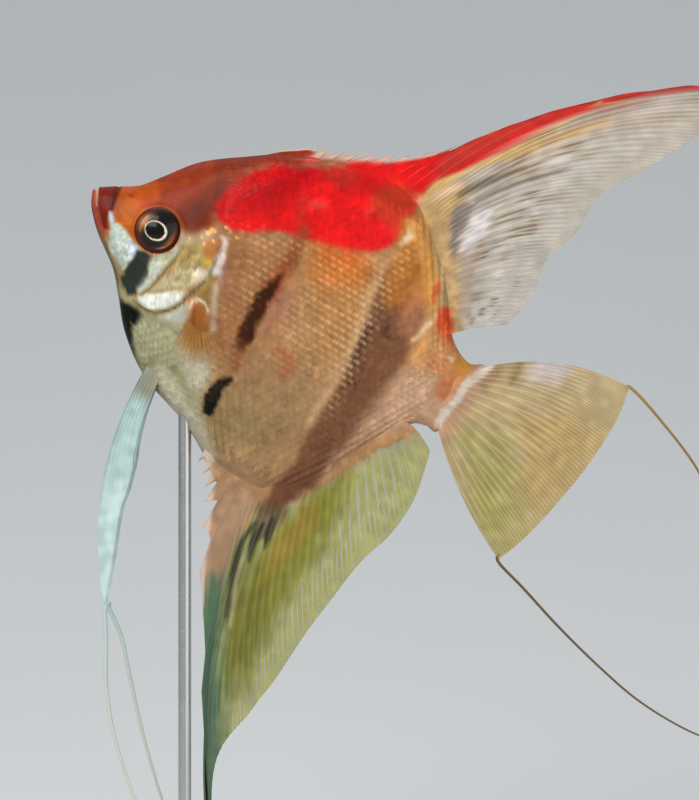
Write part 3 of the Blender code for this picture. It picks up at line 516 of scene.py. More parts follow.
# Cover is a body marking's pearl, and a fin marking's opacity.
BODY_MARKINGS = [
    patch("flank_brown", 4.0, 1.0, [
        (25.3, 6.2), (31.7, 9.3), (38.5, 11.9), (39.7, 4.3), (39.5, -6.8), (39.5, -15.6), (32.2, -13.2),
        (28.6, -4.3)]),
    patch("flank_gold", 3.5, 1.0, [
        (39.3, 11.6), (47, 13.4), (53.5, 14.4), (54.9, 8.7), (56.4, 0.7), (53.9, -3.3), (48.9, 0.8),
        (43.4, 5.3)], 0.8),
    patch("flank_rose", 2.5, 0.8, [(40.2, 4), (44, 1.5), (43.5, -4.5), (40.5, -7), (39.2, -2)], 0.7),
    patch("belly_tan", 5.0, 1.5, [
        (38.5, -15.5), (50, -9.6), (58.5, -11.2), (58.3, -20.6), (57.2, -30.1), (55, -42), (41.8, -34.8),
        (36.8, -26.4)]),
    patch("belly_olive", 4.0, 1.0, [
        (39.3, -25.6), (43.7, -19.8), (51.1, -20.9), (50, -28.3), (43.3, -30.4)], 0.7),
    patch("belly_rose", 3.0, 1.0, [(43, -30.5), (50, -29), (56.5, -33), (55, -39), (46, -38)], 0.7),
    patch("breast_silver", 3.0, 0.8, [
        (15.9, -15), (20.1, -13.2), (24.5, -10.2), (29.6, -13.2), (34.3, -15.8), (37.4, -22.1),
        (39.2, -30.5), (31.4, -31), (21.7, -27.3)], 1.0, 0.6),
    patch("breast_olive", 2.2, 0.6, [
        (24.5, -22.6), (29.9, -20.7), (34.5, -22.9), (35.1, -26.8), (29.9, -25.4)], 0.7),
    patch("breast_pale", 2.0, 0.8, [
        (29, -17), (33.5, -16.2), (36.8, -19.5), (35.6, -22.6), (31.6, -20.4)], 0.7, 0.7),
    stroke("breast_pale", (1.6, 2.0, 1.4), 1.3, [
        (28, -22.6), (30.8, -24), (34.5, -26.2), (39.5, -28.8), (43.8, -31.8)], 0.8, 0.8),
    patch("back_rust", 1.6, 0.4, [
        (7, 10.5), (10.8, 15.4), (16.4, 21.8), (22.7, 27.9), (29.4, 31.6), (33.2, 29.6), (31.2, 25.6),
        (25.6, 21.4), (23.6, 18.7), (23.5, 16.2), (23.2, 14.2), (22.3, 11.7), (22.4, 9.1), (22.9, 6.4),
        (21.3, 3.7), (18.1, 3), (15.3, 4.6), (10.4, 3), (8.6, 6)], 1.0, 0.05),
    patch("nape_mauve", 1.8, 0.4, [
        (16.2, 6), (17.1, 8.2), (19, 10.1), (21, 8.3), (21.9, 5.7), (21.4, 3.4), (19.7, 2.4), (18.2, 2.9),
        (16.5, 4.4)], 0.9),
    patch("nape_mauve", 1.2, 0.3, [
        (18.8, 12.6), (20.6, 14.2), (22.4, 12.6), (21.8, 10.6), (19.6, 10.4)], 0.45),
    stroke("back_ridge", (0.9, 1.1, 0.9), 1.0, [
        (8, 8.6), (13, 14.4), (19.5, 20.2), (27, 25.6), (33, 29)], 0.9),
    stroke("forehead_orange", (0.7, 1.3, 0.7), 1.0, [(9.6, 7.4), (11.7, 8.6), (14.2, 10.8)], 0.6),
    patch("nape_rose", 0.9, 0.3, [
        (16.8, 12.4), (18.6, 15), (22, 18.2), (24, 19), (23.4, 16.4), (21.8, 14.6), (19.2, 12.9)], 0.6),
    patch("gill_brow", 1.3, 0.4, [
        (18.9, -1.4), (18.7, 1.9), (20.4, 2.6), (22.4, 4.3), (24.4, 4.2), (23.6, 2.2), (21.8, 0.6),
        (20.3, -0.6)], 0.9),
    patch("gill_margin", 0.9, 0.4, [
        (27.2, -0.6), (28.3, -1.4), (29, -4), (30, -7.2), (29.4, -8.2), (28.2, -6.8), (26.4, -7.6),
        (25.8, -6.4), (27.3, -4.6)], 0.9, 0.3),
    patch("gill_olive", 1.3, 0.4, [
        (20.2, -0.4), (22, 1.3), (24.1, 2), (25.1, 0.6), (25.8, -1.2), (23.5, -2.7), (21.5, -4.4),
        (20.3, -4.4)], 0.95, 0.4),
    patch("gill_cream", 1.2, 0.4, [
        (18.9, -10.6), (19.6, -7.5), (20.8, -4.7), (23.2, -2.8), (25.6, -1.7), (26.9, -2.4), (26.5, -4.4),
        (25, -6.1), (23.5, -7.7), (21.4, -9.3)], 1.0, 0.7),
    patch("gill_olive", 0.9, 0.4, [
        (21.6, -5.2), (23.2, -4), (24.4, -4.8), (23.2, -6.4), (21.8, -7)], 0.35, 0.5),
    patch("gill_orange", 0.8, 0.3, [
        (23.3, 2.4), (24.8, 3.9), (26, 2.8), (26.5, 0.4), (25.5, 0), (24.2, 1)], 0.95, 0.2),
    patch("gill_yellow", 0.5, 0.2, [
        (24.8, -0.5), (25.6, 0.5), (26.6, 0.1), (26.5, -1), (25.6, -1.2)], 0.85, 0.3),
    patch("gill_rose", 0.8, 0.3, [
        (24.2, -3.4), (25.7, -1.7), (26.9, -2.4), (26.5, -4.1), (25.2, -4.9)], 0.8, 0.8),
    patch("snout_orange", 1.0, 0.3, [
        (3.6, 4.4), (6.6, 7.2), (9.4, 8.4), (11.4, 5.6), (10.3, 2.4), (10.4, -0.1), (11.2, -2.5),
        (12.4, -3.9), (11.1, -4), (8.8, -2.4), (6.6, -2.2), (5.2, -0.5), (4.4, 1.5)], 1.0, 0.05),
    patch("snout_bright", 1.0, 0.3, [
        (6.2, 0.3), (7.1, 2.1), (8.8, 3.1), (9.4, 1.6), (9.6, -0.4), (10, -2.4), (7.8, -1.9)], 0.85),
    patch("snout_red", 1.0, 0.3, [(8.6, 4.4), (10, 5.4), (11.2, 4.4), (10.4, 2.4), (9.2, 2.8)], 0.6),
    patch("lip_brown", 0.5, 0.2, [
        (-0.8, 3.4), (2.8, 5.6), (4, 3.6), (4.4, 1.9), (5, -0.4), (4.8, -1.5), (5.5, -3.5), (6.3, -4.1),
        (5.3, -4.7), (4.1, -3.8), (2.5, -1.9), (0.6, 0.8)], 1.0, 0.1),
    stroke("lip_dark", (0.7, 0.7, 0.4), 0.5, [(3.2, 4.2), (3.7, 2.6), (4.2, 1), (4.7, -0.6)], 0.85),
    patch("lip_rose", 0.4, 0.1, [
        (-1.2, 1.8), (0.7, 0.7), (2.5, -1.9), (4.9, -4.5), (6.3, -5.2), (6.3, -6.2), (5.6, -6.8),
        (3.6, -5.4), (1.2, -2.9), (-0.6, 0)], 1.0, 0.2),
    stroke("lip_dark", (0.45, 0.3, 0.2), 0.3, [
        (-1.1, 1.4), (-0.9, 0.5), (-0.4, -0.6), (1, -2.3), (2.3, -3.6), (3.7, -4.9)], 0.85),
    stroke("mouth_gap", (0.3, 0.24, 0.1), 0.25, [
        (-0.2, 2.2), (0.4, 1), (1.1, -0.2), (1.9, -1.5)], 0.85, 0.4),
    patch("mouth_cream", 0.5, 0.2, [(6, -4.5), (6.4, -3.9), (7, -5.3), (6.8, -6.3), (6.1, -5.7)], 0.95, 0.3),
    patch("chin_tan", 0.8, 0.2, [
        (6.2, -6.3), (6.8, -5.1), (7.9, -7.1), (9.7, -8.1), (11.4, -8.8), (12.6, -9.6), (12.6, -10.8),
        (11.2, -10.4), (9.4, -9.4), (7.8, -8.3)], 0.95, 0.3),
    stroke("throat_olive", (0.25, 0.5, 0.6), 0.5, [
        (3.9, -5.2), (6, -6.5), (8.3, -8.4), (11.3, -11), (13.5, -13.5), (15.2, -15.6)], 0.9, 0.1),
    patch("cheek_silver", 0.5, 0.2, [
        (6.3, -3.4), (7.2, -2.4), (8.9, -2.7), (10.9, -3.6), (13.1, -4.5), (13.5, -5.5), (13, -7.5),
        (12.8, -8.7), (12.5, -9.4), (11.3, -8.7), (9.7, -8), (8, -7.1), (6.9, -5.3)], 1.0, 1.0),
    patch("cheek_blue", 0.7, 0.2, [
        (10.6, -4.2), (13.2, -4.7), (13.3, -5.8), (12.8, -7.1), (11.5, -5.8)], 0.85, 1.0),
    patch("cheek_shade", 0.7, 0.2, [
        (6.9, -4.8), (7.6, -4.4), (9.3, -6.5), (11.8, -8), (12.5, -9.2), (9.9, -8.2), (8, -7.1)], 0.7, 0.6),
    stroke("jaw_blue", (0.3, 0.5, 0.3), 0.4, [(4.9, -1.4), (5.6, -2.2), (6.4, -3.2)], 0.95, 0.8),
    patch("behind_bar_white", 0.6, 0.3, [
        (16.1, -4.8), (17.2, -3.8), (18.4, -2.4), (19.2, -0.9), (20.1, -0.7), (20, -2.7), (19.6, -5),
        (19.2, -6.9), (18.7, -8.8), (17.9, -10.9), (17.2, -11.9), (16.6, -11.1), (16.9, -9.4), (16.7, -7.4),
        (16.2, -5.9)], 1.0, 0.9),
    patch("gill_olive", 0.8, 0.3, [
        (18.2, -3.6), (19.4, -1.8), (19.8, -3.6), (19.3, -6), (18.7, -7.4), (18.5, -5.4)], 0.4, 0.6),
    # Painted highlight behind the bar below the eye.
    stroke("rose_gleam", (0.2, 0.3, 0.2), 0.35, [(18.1, -5.2), (18.4, -6.6), (18.2, -8)], 0.6, 0.8),
    patch("gill_white", 0.6, 0.3, [
        (17.4, -12.6), (18.9, -11.2), (21.3, -9.4), (23.8, -7.7), (25.3, -7.4), (24.7, -9.4), (23.6, -11.3),
        (22, -12.8), (20.2, -13.5), (18.4, -13.3)], 1.0, 1.0),
    patch("chin_grey", 0.8, 0.3, [
        (12.8, -11.8), (13.8, -12.7), (15.6, -13.2), (16.9, -12.9), (18.2, -13.8), (19.4, -14.4),
        (16.6, -14.6), (15, -14.4), (13.4, -13.4)], 0.95, 0.3),
    patch("bar_black", 0.55, 0.55, [
        (13.3, -5.1), (15.7, -4.4), (16.2, -6.4), (16.8, -8.3), (16.8, -9.8), (16.4, -11), (17, -12.2),
        (15.9, -12.9), (14.1, -12.4), (12.7, -11.4), (12.7, -10.1), (12.9, -9), (13.2, -7.4)], 1.0, 0.05),
    # Painted highlight on the bar below the eye.
    stroke("grey_gleam", (0.2, 0.4, 0.2), 0.5, [(16.6, -8.8), (16.7, -10), (16.6, -11)], 0.4, 0.6),
    patch("throat_black", 0.8, 0.3, [
        (14.8, -14.8), (17, -14.5), (19.4, -14.9), (19.7, -16.2), (19.3, -17.9), (20.4, -20.2), (22, -22.6),
        (20.6, -24.2), (16.6, -19.8), (14, -16.4)], 0.97, 0.05),
    stroke("throat_olive", (0.7, 0.7, 0.6), 0.8, [(20.6, -21.6), (22.4, -23.4), (24.6, -25.4)], 0.9),
    patch("breast_white", 0.9, 0.4, [
        (22.6, -13.6), (25.1, -10.8), (26.3, -9), (27.2, -9.6), (27.7, -11.6), (26, -13.6)], 0.85, 0.9),
    stroke("fold_olive", (0.14, 0.22, 0.18), 0.28, CHEEK_LINE, 0.85),
    stroke("fold_olive", (0.06, 0.12, 0.10), 0.25, GILL_RAY_LINE, 0.55),
    stroke("fold_olive", (0.05, 0.22, 0.12), 0.28, [(x + 0.25, z - 0.25) for x, z in GILL_EDGE[5:]], 0.9),
    patch("shoulder_white", 0.7, 0.9, [
        (26.1, 5), (27, 4.7), (28.3, 1.9), (29.2, 0), (29.4, -2.2), (28.4, -1.9), (27.3, -1.4), (27, 0.3),
        (26.9, 1.9), (26.4, 3.6)], 0.85, 1.0),
    stroke("cheek_silver", (0.1, 0.4, 0.1), 0.4, [(27.2, 0.6), (27, -0.9), (27.2, -2)], 0.7, 0.9),
    stroke("shoulder_pale", (0.2, 0.35, 0.2), 0.4, [(27.8, 2.6), (28.4, 0.6), (28.9, -0.8)], 0.6, 0.8, 0.5),
    stroke("shoulder_violet", (0.05, 0.16, 0.05), 0.22, [(28.6, 1.6), (29.4, 0.3), (29.9, -1.4)], 0.6, 0.3),
    stroke("shoulder_pale", (0.45, 0.5, 0.35), 0.7, [
        (29.2, -2.6), (29.8, -4.4), (31, -7.4), (32.6, -10.4), (33.6, -13)], 0.95, 0.8, 0.5),
    stroke("shoulder_rose", (0.2, 0.3, 0.2), 0.35, [(29.6, -1.2), (30.2, -3.2)], 0.6, 0.5),
    stroke("orange_speck", (0.3, 0.4, 0.2), 0.3, [(28, 7.6), (28.2, 6)], 0.6),
    patch("lobe_brown", 1.1, 0.6, [
        (27.3, -9.5), (27.6, -8.2), (28.5, -7.6), (30.2, -8.6), (31.7, -10.7), (32.6, -12.9), (31.2, -14.2),
        (29.6, -13.4), (28.1, -11.4)], 0.9, 0.1),
    stroke("lobe_dark", (0.2, 0.35, 0.2), 0.4, [(28.2, -9.4), (28.8, -11.2), (29.9, -13.2)], 0.7),
    stroke("lobe_cream", (0.12, 0.28, 0.1), 0.25, [
        (27.2, -9.6), (27, -8.4), (27.6, -7.4), (28.8, -7.2), (30, -7.9), (30.8, -9)], 0.95, 0.5),
    patch("lobe_gold", 0.9, 0.3, [
        (28.6, -13.4), (30.4, -12.6), (32.8, -12.6), (33.4, -14.6), (31.2, -15.8), (29.2, -15.4)], 0.85),
    stroke("back_rust", (1.6, 2.6, 2.0), 1.0, [
        (24, 22.4), (29.5, 26.6), (34.5, 30.2), (39.5, 33.4), (43, 35.6)], 1.0, 0.05),
    stroke("nape_rose", (0.3, 0.5, 0.3), 0.5, [(28.6, 24.6), (32, 26), (35.4, 28.8), (38.6, 31.2)], 0.6),
    patch("saddle_red", 0.8, 0.4, [
        (21.9, 9.1), (21.4, 11.5), (22.4, 14), (23.5, 15.8), (24.3, 18), (26.4, 20.4), (27.9, 21.9),
        (29.4, 22.8), (31.6, 23.1), (33.4, 24.6), (36.6, 26.6), (38.7, 28.7), (40.6, 31.1), (43.4, 35),
        (52.4, 40.6), (55, 33.9), (54.6, 29), (54.3, 25), (54.3, 21.5), (53.5, 19), (50.1, 16.2), (45.5, 14),
        (42.1, 13.3), (38.8, 12.5), (35.5, 11.9), (31.7, 10), (29, 8), (26.3, 7.3), (24, 7.5)], 1.0, 0.05),
    patch("saddle_deep", 3.0, 0.8, [
        (22.6, 10.4), (24.6, 18.2), (30, 23.6), (34.5, 25), (33, 17), (28, 11)], 0.85),
    patch("saddle_dull", 1.2, 0.4, [
        (34.6, 25.6), (38.4, 28.6), (42, 28.6), (41.6, 25.4), (38.2, 24.4)], 0.6),
    patch("saddle_rose", 0.8, 0.3, [(31, 26.6), (33.8, 28.8), (34.8, 27.4), (32.4, 25)], 0.6),
    patch("saddle_rose", 0.7, 0.2, [(36.2, 19.4), (38.6, 20.6), (40, 20), (38.6, 18.6), (36.6, 18.2)], 0.55),
    patch("saddle_rose", 0.8, 0.2, [(45.8, 23.6), (47.6, 24.6), (48.6, 23.6), (47, 22.2)], 0.4),
    patch("saddle_rust", 1.4, 0.6, [
        (45.6, 27.4), (48.5, 30.4), (53, 31.7), (54.4, 27.3), (53.8, 23), (50, 23.2), (46.4, 25.2)], 0.75),
    patch("ember", 1.8, 0.6, [
        (42.6, 13), (46.5, 14.2), (50, 15.6), (49.6, 12.8), (46.4, 11), (43.6, 11.2)], 0.8),
    patch("flank_orange", 2.2, 0.7, [(41.4, 12.8), (51, 15.2), (53.4, 12), (50.4, 8.4), (44.8, 7.2)], 0.75),
    stroke("ember_soft", (0.7, 1.0, 0.7), 1.4, [(45.7, -8.1), (48.5, -9.1), (48.6, -11.6)], 0.7),
    stroke("saddle_dull", (0.5, 0.9, 0.6), 0.9, [(34.4, 19.7), (36.4, 16.2), (37.9, 12.3)], 0.5),
    stroke("bar_faint", (0.8, 1.3, 1.7), 1.2, [
        (38.6, 14), (38.8, 10), (38.9, 7), (38.7, 3.7), (38.5, 0)], 0.85, 0.1, 0.4),
    stroke("bar_dark", (-0.2, 1.5, 1.0), 0.6, [
        (39, 4.9), (38.7, 2), (38.3, -0.8), (38.2, -3.4), (38.7, -8), (39.3, -11)], 1.0, 0.0, 0.7),
    stroke("bar_faint", (1.1, 0.9, 0.7), 1.0, [(39.2, -10.6), (39.6, -13), (40, -15)], 0.6, 0.1, 0.4),
    stroke("spot_black", (1.15, 1.5, 1.1), 0.35, [
        (39.6, -24.2), (39.1, -22.4), (38.9, -20.6)], 1.0, 0.0, 0.35),
    stroke("spot_black", (1.1, 1.0, 0.7), 0.4, [
        (38.8, -20.6), (39.2, -18.8), (40.2, -17.6)], 0.95, 0.0, 0.35),
    patch("bar_brown", 0.9, 0.5, [
        (55.3, 24), (55.1, 17.3), (55.4, 12.9), (56, 8.8), (57, 4), (57.6, -0.1), (58.2, -6.4),
        (58.3, -12.5), (58.2, -19.2), (58.4, -26.5), (57.2, -31.3), (57.4, -36.1), (58, -42.2),
        (61.6, -40.1), (61.9, -36.2), (61.6, -33.3), (62.4, -30.2), (64.4, -24.9), (64.9, -21.2),
        (66.2, -16.3), (66.4, -13.2), (66.9, -7.4), (66.9, -1.1), (67, 4.3), (66.1, 9.9), (63.9, 16.4),
        (60.7, 24.2), (58, 27)], 1.0, 0.15),
    patch("bar_gold", 2.0, 0.6, [
        (53.7, 23.9), (56, 28), (60, 27), (64.5, 21.9), (66.2, 15.8), (63.8, 11.4), (58.5, 9.7), (56, 13.7),
        (54.9, 18.5)], 0.85, 0.2),
    patch("bar_rust", 1.6, 0.6, [(61, 14), (63.4, 16), (65.6, 12), (66, 8), (64, 6.6), (61.6, 9.6)], 0.6),
    stroke("bar_dusk", (0.5, 0.8, 0.5), 0.6, [
        (58.4, 4.6), (58.2, 2), (58.5, -0.6), (59, -3)], 0.65, 0.1, 0.5),
    stroke("bar_dusk", (0.2, 0.4, 0.2), 0.6, [(60.6, 5.4), (61.6, 4.4), (63, 4.6)], 0.55, 0.1, 0.9),
    stroke("cream_edge", (0.4, 0.9, 0.7), 0.9, [
        (55.6, 20.4), (54.9, 16.2), (55, 12.6), (55.4, 8.8), (56.2, 4), (56.9, -0.6), (57.3, -6.4),
        (57.5, -12), (57.4, -17)], 0.35, 0.7, 0.6),
    stroke("cream_edge", (0.5, 0.9, 0.5), 0.5, [(55.4, 24.2), (56, 23), (55.6, 21.4)], 0.95, 0.9, 0.5),
    patch("rear_beige", 1.3, 0.5, [
        (53.4, 29.7), (55, 35.8), (60, 35.6), (64.3, 27.7), (69.6, 18.5), (74.2, 11.5), (70.9, 9.4),
        (66.3, 16.6), (58.6, 25.7)], 0.9, 0.2),
    stroke("rear_orange_gold", (0.9, 1.2, 0.9), 1.0, [
        (54.6, 25.4), (57.4, 24.4), (61.6, 20.4), (66.6, 13.4), (68.6, 10)], 0.75, 0.3, 0.4),
    patch("rear_orange", 0.7, 0.3, [
        (68.2, 12), (68.2, 14.6), (70, 14.8), (72.9, 10.6), (74.2, 8.2), (72.6, 8), (71.2, 8.9), (69.6, 10)],
        0.95),
    stroke("rear_orange", (0.3, 0.6, 0.3), 0.5, [(65, 18.4), (65.6, 16.4), (66, 14.6)], 0.7),
    patch("rear_gold", 2.0, 0.7, [
        (66.4, 6.3), (67.9, 9.6), (71.4, 9.9), (76.2, 8.2), (77.4, 5.2), (74.4, 2.4), (68.6, 2.1)],
        0.9, 0.3),
    patch("stalk_rust", 1.3, 0.5, [(70.6, 6.4), (73.2, 7), (75.2, 5), (73.8, 3), (71.2, 3.8)], 0.6),
    patch("rear_cream", 2.4, 0.8, [
        (66.4, -7.2), (67.7, -0.3), (71.6, 2.6), (77.1, 3), (80.5, -1.3), (79.3, -6.8), (73, -9.8),
        (67.6, -14.5), (65.6, -20), (64.6, -24), (66, -12)], 0.95, 0.5),
    stroke("cream_edge", (0.3, 0.5, 0.3), 0.4, [
        (66.6, 6.6), (67.2, 8.8), (67.6, 10.6), (68, 12.2)], 0.8, 0.9, 0.4),
    patch("stalk_rust", 1.3, 0.7, [
        (74.2, 1.6), (74.8, 3.2), (75.8, 4.4), (77.4, 5.2), (77.8, 3.4), (77.8, 0.8), (76.9, -0.8),
        (75.4, -1), (75, 0.2)], 0.75),
    patch("tail_root_pale", 0.9, 0.3, [
        (71.9, 6.6), (73, 7.8), (75.2, 7.6), (75, 6.2), (74.2, 4.9), (72.2, 4.4)], 0.7, 0.6),
    patch("tail_gold", 0.6, 0.3, [
        (75.3, 7.1), (76, 8.2), (78.4, 8.2), (78.4, 6.2), (77.2, 5.2), (76, 5.7)], 0.7),
    # Painted highlight on the scales of the stalk.
    stroke("scale_gleam", (0.3, 0.4, 0.2), 0.4, [(74, 6.9), (74.6, 6.9), (75, 6.6)], 0.8, 0.8),
    stroke("rear_cream", (0.8, 1.1, 0.8), 1.0, [(72.4, 0.2), (74.2, -0.8), (76.4, -2.2)], 0.7, 0.5),
    *TAIL_ROOT_BAND,
]

# Small painted gold highlights round the top of the gill cover: x, z, radius
GOLD_HIGHLIGHTS = [
    (23.0, 4.4, 0.5), (23.4, 5.2, 0.6), (24.1, 5.3, 0.45), (25.6, 7.1, 0.4), (26.7, 6.7, 0.45),
    (26.2, 6.0, 0.25), (20.5, 1.9, 0.35), (23.4, 2.2, 0.3), (22.4, 3.3, 0.3), (24.6, 3.6, 0.3),
    (28.3, 6.4, 0.25), (27.4, 4.4, 0.25),
]

# Where the rear bar is speckled.
BAR_SPECKLED = [
    (57.0, 6.0), (57.8, -2.0), (58.3, -12.5), (58.4, -30.0), (63.0, -28.0), (66.4, -13.2), (66.6, 2.0),
    (62.0, 8.0),
]

# How strongly each scale's painted highlight shows, a cream fleck and a pale free edge: a start value, then
# other values in outlines.
SCALE_HIGHLIGHT_ZONES = [
    (0.30, None),
    (0.70, [(30.0, 9.0), (37.0, 12.0), (45.0, 13.5), (52.0, 16.0), (56.0, 12.0), (57.0, 0.0), (57.0, -8.0),
            (50.0, -9.0), (43.0, -5.0), (36.0, -5.0), (31.0, 0.0)]),
    (0.85, [(45.0, 9.0), (51.0, 12.0), (55.0, 14.0), (56.4, 6.0), (57.0, -6.0), (52.0, -4.0), (47.0, 0.0)]),
    (0.14, [(39.5, -14.0), (50.0, -10.0), (58.0, -14.0), (57.0, -32.0), (44.0, -33.0), (40.0, -26.0)]),
    (0.55, [(16.0, -16.0), (24.0, -12.0), (33.0, -14.0), (38.5, -22.0), (41.0, -32.0), (30.0, -30.0),
            (20.0, -24.0)]),
    (0.02, [(18.0, 14.0), (22.0, 9.0), (31.0, 10.6), (40.0, 13.6), (50.0, 17.0), (55.0, 21.0), (56.0, 36.0),
            (30.0, 30.0)]),
    (0.06, [(56.0, 26.0), (57.5, 5.0), (59.0, -10.0), (58.6, -33.0), (63.0, -30.0), (67.0, -8.0), (66.5, 8.0),
            (61.0, 26.0)]),
    (0.00, [(37.0, 9.0), (41.4, 9.0), (41.0, 0.0), (41.6, -10.0), (37.0, -12.0), (35.4, 0.0)]),
    (0.05, [(37.0, -15.0), (42.0, -15.0), (41.4, -26.4), (37.0, -26.0)]),
    (1.00, [(54.0, 20.0), (56.6, 21.0), (56.6, 8.0), (58.0, -4.0), (57.4, -14.0), (55.8, -6.0), (54.2, 8.0)]),
    (0.55, [(68.0, 9.0), (77.0, 8.0), (80.0, -4.0), (72.0, -9.0), (67.5, -4.0)]),
]

